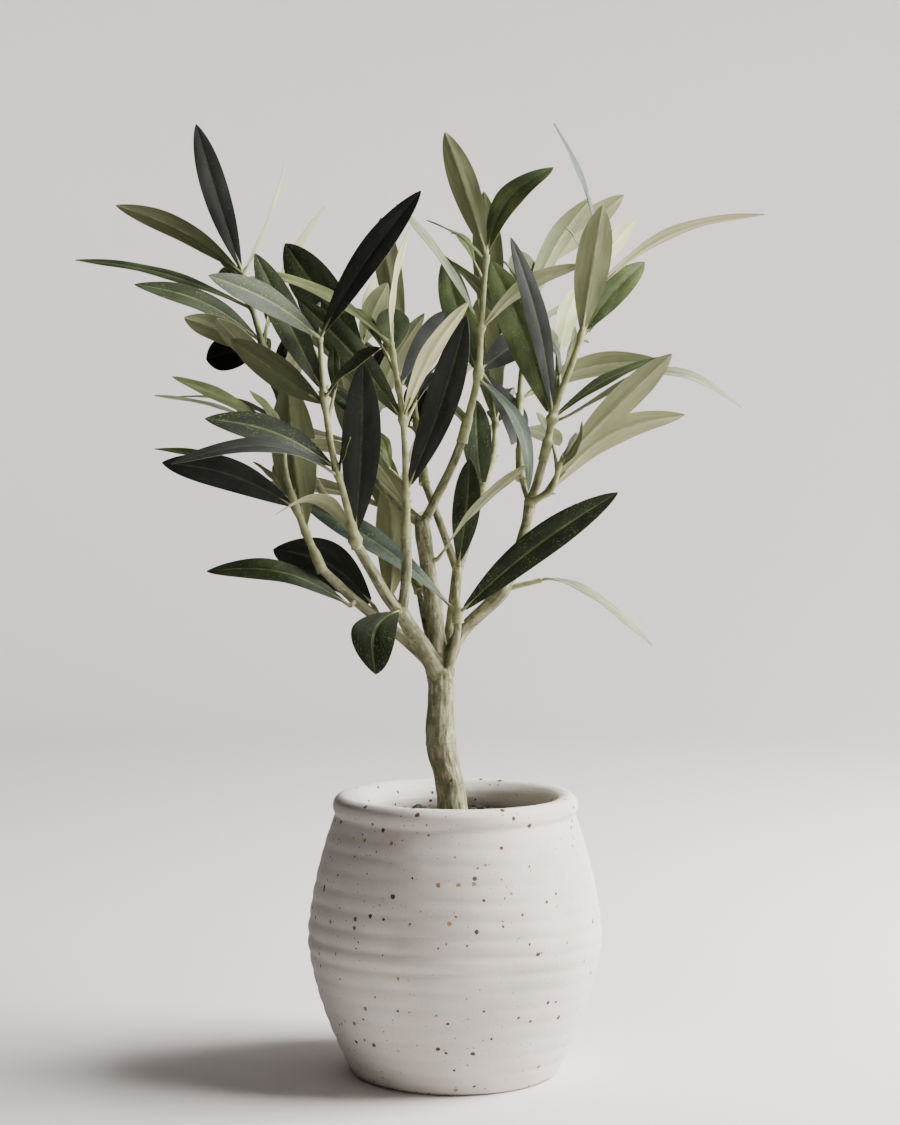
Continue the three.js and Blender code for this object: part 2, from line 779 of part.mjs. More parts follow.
const tree = new THREE.Group();
tree.add(meshOf('pot', makePot(), COLOURS.clay, 0.85));
tree.add(meshOf('soil', makeSoil(), COLOURS.soil, 1));
const limbShapes = makeLimbs();
for (const { name, shape } of limbShapes) tree.add(meshOf(name, shape, COLOURS.bark, 0.8));
for (const { name, shape } of makeSprigs(limbShapes)) tree.add(meshOf(name, shape, COLOURS.leaf, 0.6));

export default tree;
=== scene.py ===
import math
import bpy
import numpy as np
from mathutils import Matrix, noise


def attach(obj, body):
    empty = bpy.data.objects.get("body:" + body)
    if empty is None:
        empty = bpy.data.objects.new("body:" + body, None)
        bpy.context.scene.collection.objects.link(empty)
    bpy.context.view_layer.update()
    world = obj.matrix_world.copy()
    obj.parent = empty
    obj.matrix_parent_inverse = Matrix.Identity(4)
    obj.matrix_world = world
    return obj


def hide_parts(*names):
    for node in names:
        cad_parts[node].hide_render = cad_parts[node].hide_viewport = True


# An artificial olive tree in a speckled stoneware pot.
# Lengths are in millimetres and angles in degrees, and MM turns a length into metres.
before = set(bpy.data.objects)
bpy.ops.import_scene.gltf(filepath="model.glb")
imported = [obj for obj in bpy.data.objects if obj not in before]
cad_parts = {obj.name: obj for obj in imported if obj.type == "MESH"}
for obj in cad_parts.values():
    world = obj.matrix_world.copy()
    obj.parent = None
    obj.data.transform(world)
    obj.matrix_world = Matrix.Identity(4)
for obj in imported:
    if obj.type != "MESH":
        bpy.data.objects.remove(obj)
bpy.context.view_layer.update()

MM = 0.001

# ---------------------------------------------------------------- driving dimensions

POT = dict(
    foot_radius=46, belly_radius=65, belly_height=60, neck_radius=53.2, neck_height=114,
    lip_radius=54.2, lip_height=118.5, rim_radius=49.3, rim_height=122.6,
    mouth_radius=42.3, mouth_height=114.5, wall=7, floor=8, floor_radius=39,
    roundness=1.6, sides=160, ring=1.15,
)
THROWING = dict(pitch=7.6, depth=0.85, drift=1.6, strongest=200)
SOIL = dict(height=109.5, radius=44.3, sides=72, clumps=330, smallest=1.1, largest=2.9, seed=12)

LEAF = dict(longest=90, petiole=0.75, tip=0.25, bluntness=0.75, fullness=1.05)
# How far chance may bend a leaf to the side, as a share of its length, and twist it.
UNEVEN = dict(sway=0.06, twist=24)
# A leaf of a pair points this far away from its stem. The spreads are what chance adds.
PAIR = dict(away=48, away_spread=20, turn_spread=30, size_spread=0.3, arch=0.08)
BLADE = dict(steps=24, start=0.05, thickness=0.42, edge=0.22, fold=0.15, groove=0.14, ridge=0.42, wave=0.32)
STEM = dict(sleeve=2.3, sleeve_share=0.12, foot=1.8, tip=1.1, sides=12, ring=0.9)
COLLAR = dict(overlap=1.6, lip=0.28, lip_length=0.9, step=1.4)
NODE = dict(swell=0.5, length=1.7, bud=4.2, bud_radius=0.75)
STALK = dict(root=1.05, end=0.5, share=0.17, sides=8, rings=9)

CLEAR_OTHER = 4.2
CLEAR_OWN = 2.4
CLEAR_LIMB = 1.9
TURNS = (0, 7, -7, 14, -14, 21, -21, 28, -28, 38, -38, 50, -50)

# Open places in the crown: x, z and radius where the line of sight from a viewpoint in front
# crosses the plane y = 0. Leaves that a rule adds keep out of these lines.
VIEWPOINT = (-2.2, -950, 258)
OPENINGS = [
    (-10, 376, 7), (31, 368, 6), (41.5, 383, 6), (44.5, 346, 5), (27, 308, 6), (-29.5, 288, 4),
    (-13, 344, 5), (-46, 354, 5), (-59.5, 289, 4), (68, 327, 6), (0, 279, 4), (53, 305, 4),
]

# Each limb: its centre line from foot to tip, its widths there, and its swellings.
LIMBS = dict(
    trunk=dict(
        line=[(-0.3, 0, 105), (-2.2, 0, 126), (-6.2, 0, 145), (-6.2, 0, 168), (-6.6, 0, 178)],
        widths=(13.6, 11.2), swells=[(0, 2.4), (0.5, 1.4), (1, 2.2)],
    ),
    bough_front_left=dict(
        line=[(-6, -1, 173), (-13.2, -5, 186.4), (-19, -8, 195.2), (-23.4, -11, 203.5)],
        widths=(9, 6.6),
    ),
    bough_right=dict(
        line=[(-5, 1, 176), (3.1, 3, 193.9), (21.2, 3, 212.8), (30.4, 3, 237), (33.5, 3, 252.4)],
        widths=(6.8, 4.6), swells=[(0.5, 1.2), (1, 0.8)],
    ),
    bough_middle=dict(
        line=[(-6.6, 1, 174), (-9.3, 8, 203), (-12.6, 10, 226), (-15, 10, 243.6)],
        widths=(8, 6.6), swells=[(0.36, 0.9), (0.85, 0.8)],
    ),
    bough_left=dict(
        line=[(-7, 2, 176), (-20.7, 1, 189.5), (-44.1, 1, 208), (-58.7, -6, 222.5)],
        widths=(6, 4),
    ),
    bough_back=dict(line=[(-4.5, 3, 175), (-1.3, 13, 199.6), (1.3, 18, 221.5)], widths=(5.6, 5.2)),
    twig_fork_front=dict(line=[(-4, -2, 175), (0.4, -6, 190.8), (1.3, -7, 200.5)], widths=(4.2, 3.4)),
    twig_behind=dict(line=[(-8, 4, 177), (-13.2, 11, 196), (-16.3, 14, 212.8)], widths=(2.8, 2.8)),
    twig_front=dict(
        line=[(-23.3, -11, 200.5), (-21.2, -12.5, 221.6), (-21.2, -14, 237.9)], widths=(4.6, 4.6),
    ),
    twig_left_front=dict(
        line=[(-22.5, -11, 201), (-29.5, -14, 210.2), (-35.3, -16, 220.3), (-42.8, -20, 233.5)],
        widths=(5.4, 4.6),
    ),
    twig_left_back=dict(
        line=[(-12, 4, 184), (-27, 15, 206), (-45, 22, 233), (-67.5, 21, 268)], widths=(4.6, 3.6),
    ),
    twig_middle_right=dict(
        line=[(-14.5, 10, 241), (-9, 11, 252), (-1.3, 8, 267.4), (3.5, 5, 279.7)], widths=(4.6, 4),
    ),
    twig_middle_left=dict(
        line=[(-14, 10, 241), (-24.3, 12, 250.2), (-33.1, 14, 259), (-36.2, 15, 263.9)],
        widths=(5, 4.2),
    ),
    twig_right=dict(line=[(33, 3, 250.5), (36.2, 2, 259.9), (39.5, 1, 271.5)], widths=(4.2, 4)),
    twig_right_back=dict(line=[(33.5, 3.5, 250), (31.2, 7, 257), (29.5, 9, 263)], widths=(3.2, 2.9)),
    twig_back_left=dict(
        line=[(1.5, 18, 219), (-6.6, 23, 241.4), (-14.1, 31, 261.2)], widths=(3.9, 3.5),
    ),
    twig_back_right=dict(
        line=[(1.3, 18, 219), (7.1, 21, 239.2), (11.9, 23, 253.7)], widths=(4.2, 3.5),
    ),
)


# A leaf leaves its stem at a share of the stem's length. Heading is its direction seen from
# the front, from +X towards +Z, reach its length seen from there, and lean how far it turns
# away from the front. Face turns its upper side from facing the front, 0, to facing up, 90,
# and back, 180. Arch is the rise of its middle as a share of its length, highest at peak, sway
# is its middle's share to the side, and twist turns it towards its tip.
def leaf(tone, at, heading, reach, lean, width, face, arch=0.05, twist=0, peak=0.5, sway=0):
    return dict(
        tone=tone, at=at, heading=heading, reach=reach, lean=lean, width=width, face=face,
        arch=arch, twist=twist, peak=peak, sway=sway,
    )


# Each sprig: the centre line of its stem, its placed leaves, and the pairs that a rule adds.
SPRIGS = dict(
    sprig_front=dict(
        stem=[(-21.2, -14, 237.6), (-21.2, -16, 253.7), (-22.5, -20, 287.4), (-27.6, -24, 320)],
        leaves=[
            leaf("pale", 0.27, 157, 63, -25, 12, 120, arch=0.2),
            leaf("black", 0.36, 71, 80, -5, 14, 5),
            leaf("dark", 0.66, 131, 70, 5, 13, 15),
            leaf("cream", 0.67, 60, 56, -12, 11, 125),
            leaf("black", 0.8, 60, 41, 35, 13, 0),
            leaf("dark", 0.95, 93, 22, 50, 14, 0),
            leaf("olive", 1, 152, 65, -5, 10, 60, arch=0.1),
            leaf("cream", 1, 80, 49, -15, 10, 100),
        ],
    ),
    sprig_front_left=dict(
        stem=[
            (-42.7, -19.9, 233.2), (-47.3, -25, 253.3), (-52.2, -30, 271.8), (-55.8, -36, 298),
            (-57.1, -40, 321),
        ],
        leaves=[
            leaf("pale", 0.02, 160, 35, -25, 13, 115, arch=0.33),
            leaf("black", 0.03, 87, 76, 14, 16, 0),
            leaf("flecked", 0.43, 159, 58, -8, 13, 25, sway=0.09),
            leaf("black", 0.39, 176, 66, -32, 12, 60, arch=0.16),
            leaf("sage", 0.39, 71, 17, -20, 4.5, 60),
            leaf("sage", 0.7, 145, 50, 12, 13, 165),
            leaf("pale", 0.73, 36, 31, -52, 11, 60),
            leaf("dark", 0.75, 116, 65, -3, 13, 10),
            leaf("sage", 1, 152, 48, -38, 12, 35, arch=0.06),
            leaf("black", 1, 54, 73, -14, 11.5, 10),
        ],
    ),
    sprig_left=dict(
        stem=[(-58.6, -6, 222.3), (-67.5, -8, 243.6), (-73.8, -9, 263.4), (-75, -8, 281)],
        leaves=[
            leaf("sage", 0.25, 97, 67, 8, 19, 172),
            leaf("black", 0.42, 161, 61, -6, 13.5, 8, sway=0.06),
            leaf("olive", 0.5, 161, 66, 8, 8, 60, arch=0.1),
            leaf("olive", 0.97, 151, 56, 4, 10, 65),
            leaf("grey", 1, 163, 54, -10, 8, 88),
            leaf("olive", 1, 128, 25, 20, 7, 60),
        ],
    ),
    sprig_left_top=dict(
        stem=[(-67.4, 21, 267.8), (-78.7, 20, 297), (-87, 20, 324), (-95.4, 21, 354)],
        leaves=[
            leaf("sage", 0.6, 157, 37, -25, 12, 150),
            leaf("black", 0.62, 186, 29, 42, 15, 0),
            leaf("dark", 0.66, 156, 61, -8, 11, 30, sway=0.05),
            leaf("pale", 0.66, 67, 69, 20, 9, 100),
            leaf("dark", 0.83, 164, 86, 6, 9, 60, arch=0.06),
            leaf("dark", 0.85, 130, 26, 55, 12, 0),
            leaf("sage", 1, 152, 63, -6, 10, 150, sway=-0.05),
            leaf("black", 1, 107, 69, -3, 11.5, 12),
            leaf("pale", 1, 72, 56, 22, 9, 95, arch=-0.05),
        ],
        pairs=dict(shares=(0.2, 0.42), turn=30, length=58, width=12),
    ),
    sprig_centre_left=dict(
        stem=[(-36.1, 15, 263.7), (-40, 22, 292), (-42, 28, 322)],
        leaves=[
            leaf("sage", 0.9, 128, 27, 50, 12, 150),
            leaf("cream", 0.95, 79, 43, 48, 9, 110),
            leaf("dark", 1, 127, 57, 8, 19, 0),
            leaf("sage", 1, 70, 32, 30, 11, 160),
        ],
        pairs=dict(shares=(0.3, 0.6), turn=60, length=60, width=13),
    ),
    sprig_tall=dict(
        stem=[(3.4, 5, 279.4), (10, 5, 306.8), (11.5, 5, 328.4), (13.8, 5, 360.7)],
        leaves=[
            leaf("teal", 0.33, -66, 55, -12, 12, 55, arch=0.16),
            leaf("green", 0.35, 105, 56, 12, 13, 0),
            leaf("black", 0.37, 38, 33, 36, 13, 0),
            leaf("black", 0.39, -60, 44, 28, 12, 20, arch=0.12),
            leaf("pale", 0.66, 32, 52, -10, 10, 125, arch=0.1, sway=0.05),
            leaf("grey", 0.67, 124, 67, 8, 9, 70),
            leaf("pale", 0.97, 139, 35, 48, 7, 80),
            leaf("sage", 1, 109, 56, -5, 12, 165),
            leaf("green", 1, 53, 50, 5, 12, 25, arch=0.08, sway=-0.09),
        ],
    ),
    sprig_right=dict(
        stem=[(39.4, 1, 271.3), (44.5, 0, 294), (55, -2, 323.5), (63.8, 3, 364.6)],
        leaves=[
            leaf("grey", 0.24, 4, 82, -8, 11, 72, arch=0.22, peak=0.6),
            leaf("green", 0.25, 110, 77, 12, 17, 0),
            leaf("dark", 0.26, 29, 57, 10, 10, 60, arch=0.06),
            leaf("black", 0.27, 104, 79, -4, 10, 20),
            leaf("sage", 0.68, 82, 54, -8, 15, 175),
            leaf("green", 0.68, 49, 44, 16, 11.5, 10),
            leaf("cream", 0.83, 24, 81, -4, 10, 115, arch=0.14),
            leaf("pale", 0.93, 50, 31, 45, 9, 150),
            leaf("teal", 1, 110, 58, 6, 9, 75),
        ],
        side=dict(
            stem=[(44.5, 0, 294), (45.4, 6, 306), (45.9, 12, 317.5)],
            leaves=[
                leaf("grey", 1, 122, 17.5, 48, 9, 40),
                leaf("pale", 1, 72, 35, 38, 11, 150),
            ],
        ),
    ),
    sprig_right_low=dict(
        stem=[(33.5, 2, 251.5), (38, -3, 254), (42.8, -6, 258.1), (46, -8, 269)],
        leaves=[
            leaf("pale", 0.5, 30, 68, -10, 13, 150, arch=0.1, sway=0.06),
            leaf("pale", 1, 45, 64, -6, 12, 160, arch=0.06),
        ],
    ),
    sprig_back_right=dict(
        stem=[(29.5, 8.9, 262.8), (29.6, 30, 298.5), (33, 40, 330), (36.1, 45, 358)],
        leaves=[
            leaf("sage", 0.33, 15, 67, 5, 12, 140, arch=0.12, sway=0.05),
            leaf("pale", 1, 40, 55, 8, 12, 155),
        ],
        pairs=dict(shares=(0.2, 0.5, 0.75, 1), turn=70, length=62, width=13),
    ),
    sprig_back_centre=dict(
        stem=[(11.8, 23, 253.5), (18.4, 35, 279.6), (16.5, 55, 322)],
        leaves=[leaf("dark", 0.05, 94, 42, 6, 13, 5)],
        pairs=dict(shares=(0.35, 0.6, 0.8, 1), turn=10, length=64, width=13),
    ),
    sprig_back_left=dict(
        stem=[(-14, 30.9, 261), (-18, 48, 290), (-24, 62, 325)],
        leaves=[],
        pairs=dict(shares=(0.2, 0.45, 0.7, 1), turn=0, length=62, width=13),
    ),
    sprig_back_low=dict(
        stem=[(-16.3, 14, 212.5), (-26, 38, 240), (-42, 60, 276)],
        leaves=[],
        pairs=dict(shares=(0.4, 0.6, 0.8, 1), turn=95, length=62, width=13),
    ),
    leaves_fork=dict(
        stem=[(1.3, -7, 200.3), (1.2, -7.5, 205), (0.9, -8, 209.3)],
        leaves=[
            leaf("flecked", 0.2, 38, 87, -12, 13.5, 12, sway=-0.02),
            leaf("teal", 0.3, 145, 84, 0, 12, 88, twist=88),
        ],
    ),
    leaf_front_low=dict(
        stem=[(-23.4, -11, 203), (-24.5, -15.5, 204.5)],
        leaves=[leaf("flecked", 1, -110, 28, -30, 19, 20, arch=0.25, sway=0.15)],
    ),
    leaf_left_low=dict(
        stem=[(-34, 2, 201), (-36, 6, 205)],
        leaves=[leaf("black", 1, 151, 52, 10, 19, 8, sway=0.12)],
    ),
    leaf_left_end=dict(
        stem=[(-44.1, 1, 208), (-46, -4, 206)],
        leaves=[leaf("dark", 1, 166, 64, -8, 11, 45, arch=0.1, sway=0.06)],
    ),
    leaf_right_low=dict(
        stem=[(21.2, 3, 212.8), (38, 0, 217)],
        leaves=[leaf("grey", 1, -30, 56, -8, 10, 65, arch=0.12, peak=0.35)],
    ),
    leaf_middle=dict(
        stem=[(-21, -8.5, 199.5), (-29, 4, 207)],
        leaves=[leaf("pale", 1, 92, 54, 6, 15, 172)],
    ),
    leaf_back=dict(
        stem=[(1.2, 18, 219), (1.5, 13.5, 223)],
        leaves=[leaf("dark", 1, 84, 48, -8, 12, 5)],
    ),
    leaf_fork_back=dict(
        stem=[(-12.3, 10, 223.8), (-8, 8, 226)],
        leaves=[leaf("sage", 1, 47, 57, -2, 9, 80, twist=60)],
    ),
)
PAIR_TONES = ("dark", "olive", "black", "green", "dark", "grey", "flecked")
CROWN_SEED = 41

# Fine shoots stand behind the main stems: their shares of the stem, their own length, and the
# length and width of the two small leaves on each. The spreads are what chance adds. Fork turns
# the two leaves apart and lift raises them, as shares of the shoot's direction.
SHOOTS = dict(
    shares=(0.38, 0.62, 0.86), length=13, length_spread=0.5, away=42, away_spread=16, turn=60,
    turn_spread=40, bow=0.8, leaf=21, leaf_spread=0.4, width=5.2, fork=0.55, lift=0.25, seed=7,
)

# Each tone of leaf: the paint of its upper side, of its underside and of its two ribs. The black upper side
# and the sage underside carry painted shade, and the teal and grey upper sides painted sheen.
TONES = dict(
    black=("leaf_black", "leaf_sage", "rib_black", "rib_sage"),
    dark=("leaf_dark", "leaf_sage", "rib_green", "rib_sage"),
    flecked=("leaf_flecked", "leaf_sage", "rib_green", "rib_sage"),
    green=("leaf_green", "leaf_sage", "rib_green", "rib_sage"),
    olive=("leaf_olive", "leaf_sage", "rib_green", "rib_sage"),
    teal=("leaf_teal", "leaf_pale", "rib_green", "rib_pale"),
    grey=("leaf_grey", "leaf_pale", "rib_green", "rib_pale"),
    sage=("leaf_dark", "leaf_sage", "rib_green", "rib_sage"),
    pale=("leaf_green", "leaf_pale", "rib_green", "rib_pale"),
    cream=("leaf_green", "leaf_cream", "rib_green", "rib_pale"),
)

# Swellings on the bark: place, radius and height.
KNOTS = [
    ((-5.4, -5.6, 148.2), 2.2, 0.7),
    ((-6.3, -5.9, 158.2), 2.6, 0.6),
    ((-10.6, -2.5, 150.5), 2.6, 0.6),
    ((-2.6, -5.2, 132), 3.2, 0.5),
    ((-4, -6.2, 119), 3, 0.45),
    ((-16, -9, 193), 2, 0.5),
    ((21.5, 0.5, 213), 2.6, 0.8),
    ((30.5, 0.6, 238), 2.2, 0.6),
    ((-12.4, 6.2, 221), 2.4, 0.7),
    ((-9.5, 4, 203), 2.4, 0.5),
]
SCAR = dict(height=145.4, tilt=0.12, length=0.75, rise=0.25)
# The bark's grain is read at stations along each limb, and limbs lie apart on its map.
BARK = dict(
    voxel=0.44, streak=0.24, lump=0.24, streak_width=1.3, streak_length=7.5, lump_size=9,
    stations=24, apart=40, batch=4000,
)


# ---------------------------------------------------------------- materials


class Value:
    """What a node gives at each spot of a surface. Arithmetic on it adds Math nodes."""

    def __init__(self, finish, socket):
        self.finish = finish
        self.socket = socket

    def maths(self, operation, first, second):
        return self.finish.node("ShaderNodeMath", {"operation": operation}, {0: first, 1: second})

    def __add__(self, other):
        return self.maths("ADD", self, other)

    def __sub__(self, other):
        return self.maths("SUBTRACT", self, other)

    def __rsub__(self, other):
        return self.maths("SUBTRACT", other, self)

    def __mul__(self, other):
        return self.maths("MULTIPLY", self, other)

    __radd__ = __add__
    __rmul__ = __mul__


class Finish:
    """One material, with the shader that its nodes feed."""

    def __init__(self, name, **constants):
        self.material = bpy.data.materials.new(name)
        self.material.use_nodes = True
        self.nodes = self.material.node_tree.nodes
        self.links = self.material.node_tree.links
        self.shader = self.nodes["Principled BSDF"]
        for socket, value in constants.items():
            self.shader.inputs[socket.replace("_", " ")].default_value = value

    def node(self, kind, settings=None, sockets=None, output=0):
        node = self.nodes.new(kind)
        for name, value in (settings or {}).items():
            setattr(node, name, value)
        for key, value in (sockets or {}).items():
            self.feed(node.inputs[key], value)
        return Value(self, node.outputs[output])

    def feed(self, socket, value):
        if isinstance(value, Value):
            self.links.new(value.socket, socket)
        else:
            socket.default_value = value

    def give(self, socket, value):
        self.feed(self.shader.inputs[socket], value)

    def object_place(self):
        return self.node("ShaderNodeTexCoord", output="Object")

    def map_place(self, name):
        return self.node("ShaderNodeUVMap", {"uv_map": name})

    def attribute_place(self, name):
        return self.node("ShaderNodeAttribute", {"attribute_name": name}, output="Vector")

    def stretched(self, place, amounts):
        return self.node("ShaderNodeMapping", {"vector_type": "POINT"}, {"Vector": place, "Scale": amounts})

    def cloud(self, place, size, detail=2.0, roughness=0.5):
        sockets = {"Vector": place, "Scale": 1 / (size * MM), "Detail": detail, "Roughness": roughness}
        return self.node("ShaderNodeTexNoise", None, sockets)

    def above(self, value, low, high):
        """Nothing under low, all above high, and smooth between them."""
        sockets = {"Value": value, "From Min": low, "From Max": high}
        return self.node("ShaderNodeMapRange", {"interpolation_type": "SMOOTHSTEP"}, sockets)

    def blend(self, share, first, second):
        settings = {"data_type": "RGBA", "blend_type": "MIX"}
        return self.node("ShaderNodeMix", settings, {0: share, 6: first, 7: second}, 2)

    def relief(self, height, depth):
        sockets = {"Height": height, "Strength": 1.0, "Distance": depth * MM}
        self.give("Normal", self.node("ShaderNodeBump", None, sockets))


def paint(code):
    """The base colour for a hex code."""
    channels = [int(code[i:i + 2], 16) / 255 for i in (0, 2, 4)]
    return tuple(c / 12.92 if c <= 0.04045 else ((c + 0.055) / 1.055) ** 2.4 for c in channels) + (1.0,)


def specks(finish, place, cell, density, smallest, largest):
    """Round specks of mixed sizes, scattered through the clay, and a number for each one's shade."""
    warp = finish.cloud(place, 1.1, detail=2)
    shifted = finish.node(
        "ShaderNodeVectorMath", {"operation": "MULTIPLY_ADD"}, {0: warp, 1: (0.0011,) * 3, 2: place},
    )
    sockets = {"Vector": shifted, "Scale": 1 / (cell * MM)}
    distance = finish.node("ShaderNodeTexVoronoi", None, sockets, "Distance")
    lot = finish.node("ShaderNodeTexVoronoi", None, sockets, "Color")
    chance = finish.node("ShaderNodeSeparateColor", None, {0: lot}, 0)
    size = finish.node("ShaderNodeSeparateColor", None, {0: lot}, 1)
    shade = finish.node("ShaderNodeSeparateColor", None, {0: lot}, 2)
    radius = size * size * ((largest - smallest) / cell) + smallest / cell
    present = finish.above(density - chance, 0.0, 0.01)
    return finish.above(radius - distance, 0.0, 0.03) * present, shade


def clay_finish():
    clay = Finish("speckled_clay", Roughness=0.82, Specular_IOR_Level=0.25)
    place = clay.object_place()
    broad = clay.cloud(place, 34, detail=3)
    colour = clay.blend(clay.above(broad, 0.32, 0.7), paint("c2bbb3"), paint("d2ccc6"))
    sand = clay.cloud(place, 0.55, detail=3, roughness=0.7)
    colour = clay.blend(clay.above(sand, 0.52, 0.72) * 0.35, colour, paint("a79f96"))
    colour = clay.blend(clay.above(sand, 0.3, 0.42) * -0.5 + 0.5, colour, paint("e2ded9"))
    spot = clay.node("ShaderNodeSeparateXYZ", None, {0: place}, 0)
    rise = clay.node("ShaderNodeSeparateXYZ", None, {0: place}, 2)
    crowd = clay.above(rise * 9 - spot * 9, 0.4, 1.5)
    large, shade = specks(clay, place, 3.9, crowd * 0.3 + 0.46, 0.34, 1.15)
    small, _ = specks(clay, place, 2.4, crowd * 0.35 + 0.46, 0.16, 0.46)
    dots = clay.blend(clay.above(shade, 0.45, 0.95), paint("4b3d31"), paint("95795f"))
    colour = clay.blend(small * 0.85, colour, paint("6e5f50"))
    clay.give("Base Color", clay.blend(large, colour, dots))
    pits = large * -0.5 + sand * 0.35 + clay.cloud(place, 2.4, detail=2) * 0.5
    clay.relief(pits, 0.22)
    clay.give("Roughness", 0.9 - large * 0.25)
    return clay.material


def soil_finish():
    soil = Finish("dark_soil", Specular_IOR_Level=0.2)
    place = soil.object_place()
    crumbs = soil.cloud(place, 2.2, detail=4, roughness=0.65)
    colour = soil.blend(soil.above(crumbs, 0.35, 0.65), paint("27221e"), paint("4a423a"))
    soil.give("Base Color", colour)
    soil.give("Roughness", 0.98 - crumbs * 0.15)
    soil.relief(crumbs, 0.5)
    return soil.material


def bark_finish():
    bark = Finish("grey_bark", Specular_IOR_Level=0.2)
    grain = bark.attribute_place("grain")
    along = bark.stretched(grain, (1, 1, 0.22))
    mottle = bark.cloud(grain, 7, detail=4, roughness=0.6)
    streaks = bark.cloud(along, 1.6, detail=4, roughness=0.65)
    colour = bark.blend(bark.above(mottle, 0.38, 0.62), paint("66694f"), paint("888669"))
    colour = bark.blend(bark.above(streaks, 0.5, 0.68) * 0.7, colour, paint("b3ad94"))
    colour = bark.blend(bark.above(1 - streaks, 0.54, 0.68) * 0.75, colour, paint("4a4a36"))
    flecks = bark.above(bark.cloud(bark.stretched(grain, (1, 1, 0.5)), 1.1, detail=3), 0.62, 0.68)
    colour = bark.blend(flecks * bark.above(mottle, 0.42, 0.55) * 0.85, colour, paint("302922"))
    bark.give("Base Color", colour)
    bark.give("Roughness", 0.92 - streaks * 0.12)
    bark.relief(streaks * 0.8 + flecks * -0.5, 0.28)
    return bark.material


def blade_finish(name, deep, light, fleck, amount, gloss=0.62):
    """A leaf's printed upper side: a mottled ground with flecks that run along the blade. The black ground
    carries painted shade, and the teal and grey grounds painted sheen.
    """
    top = Finish(name, Specular_IOR_Level=0.3)
    place = top.map_place("blade")
    ground = top.cloud(top.stretched(place, (0.35, 1, 1)), 5, detail=3)
    colour = top.blend(top.above(ground, 0.35, 0.68), paint(deep), paint(light))
    weave = top.cloud(top.stretched(place, (0.45, 1, 1)), 0.62, detail=2, roughness=0.6)
    patches = top.above(top.cloud(place, 11, detail=2), 0.42, 0.62)
    flecks = top.above(weave, 0.66 - 0.1 * amount, 0.7 - 0.08 * amount) * (patches * 0.8 + 0.2)
    top.give("Base Color", top.blend(flecks * min(1.0, 0.5 + amount), colour, paint(fleck)))
    top.give("Roughness", flecks * 0.15 + gloss)
    top.relief(weave * 0.6 + ground * 0.4, 0.12)
    return top.material


def underside_finish(name, deep, light):
    """A leaf's matt underside, with faint streaks along the blade. The sage underside carries painted shade.
    """
    under = Finish(name, Specular_IOR_Level=0.18, Sheen_Weight=0.12, Sheen_Roughness=0.5)
    place = under.map_place("blade")
    streaks = under.cloud(under.stretched(place, (0.12, 1, 1)), 2.2, detail=4, roughness=0.6)
    felt = under.cloud(place, 0.5, detail=2)
    colour = under.blend(under.above(streaks, 0.34, 0.68) * 0.6 + 0.2, paint(deep), paint(light))
    under.give("Base Color", under.blend(under.above(felt, 0.55, 0.75) * 0.25, colour, paint(light)))
    under.give("Roughness", felt * 0.1 + 0.82)
    under.relief(streaks * 0.7 + felt * 0.3, 0.12)
    return under.material


def stem_finish(name, deep, light):
    """Moulded green plastic, dusty and a little uneven in colour."""
    stem = Finish(name, Specular_IOR_Level=0.3)
    place = stem.object_place()
    dust = stem.cloud(place, 4.5, detail=4, roughness=0.6)
    specks_mask = stem.above(stem.cloud(place, 1.0, detail=2), 0.64, 0.72)
    colour = stem.blend(stem.above(dust, 0.36, 0.64), paint(deep), paint(light))
    stem.give("Base Color", stem.blend(specks_mask * 0.35, colour, paint("5d5a40")))
    stem.give("Roughness", dust * 0.2 + 0.5)
    stem.relief(dust, 0.18)
    return stem.material


def leaf_finishes():
    return dict(
        # Black: the dark green upper side painted darker still, as painted shade.
        leaf_black=blade_finish("leaf_black", "1c1e1c", "272a26", "4a5230", 0.3, gloss=0.8),
        leaf_dark=blade_finish("leaf_dark", "28301f", "3b452b", "6f7a40", 0.5),
        leaf_flecked=blade_finish("leaf_flecked", "20271b", "2d3623", "6f793c", 0.75),
        leaf_green=blade_finish("leaf_green", "3d4a2c", "566238", "7f8a4c", 0.4),
        leaf_olive=blade_finish("leaf_olive", "4d5534", "6a7146", "8b9159", 0.3),
        # Teal and grey: the upper side painted lighter and greyer, as painted sheen where it catches the
        # light.
        leaf_teal=blade_finish("leaf_teal", "343f38", "4b574b", "7c866a", 0.5, gloss=0.75),
        leaf_grey=blade_finish("leaf_grey", "636b52", "7e8467", "a0a380", 0.2),
        # Sage: the pale underside painted darker, as painted shade.
        leaf_sage=underside_finish("leaf_sage", "62684a", "7d8260"),
        leaf_pale=underside_finish("leaf_pale", "868a66", "a0a27e"),
        leaf_cream=underside_finish("leaf_cream", "8f906b", "a9a883"),
        # The black leaves' rib, painted darker as shade.
        rib_black=stem_finish("rib_black", "2b2f29", "3a3f33"),
        rib_green=stem_finish("rib_green", "4c5637", "646d49"),
        # The sage underside's rib, painted darker as shade.
        rib_sage=stem_finish("rib_sage", "757a55", "8b8e68"),
        rib_pale=stem_finish("rib_pale", "8f916b", "a5a67f"),
    )


# ---------------------------------------------------------------- hand tools


def start_clean():
    """Leaves object mode with nothing selected."""
    if bpy.context.object and bpy.context.object.mode != "OBJECT":
        bpy.ops.object.mode_set(mode="OBJECT")
    bpy.ops.object.select_all(action="DESELECT")


def pick(piece):
    start_clean()
    piece.select_set(True)
    bpy.context.view_layer.objects.active = piece


def apply_modifier(piece, kind, **settings):
    pick(piece)
    modifier = piece.modifiers.new(kind.lower(), kind)
    for name, value in settings.items():
        setattr(modifier, name, value)
    bpy.ops.object.modifier_apply(modifier=modifier.name)


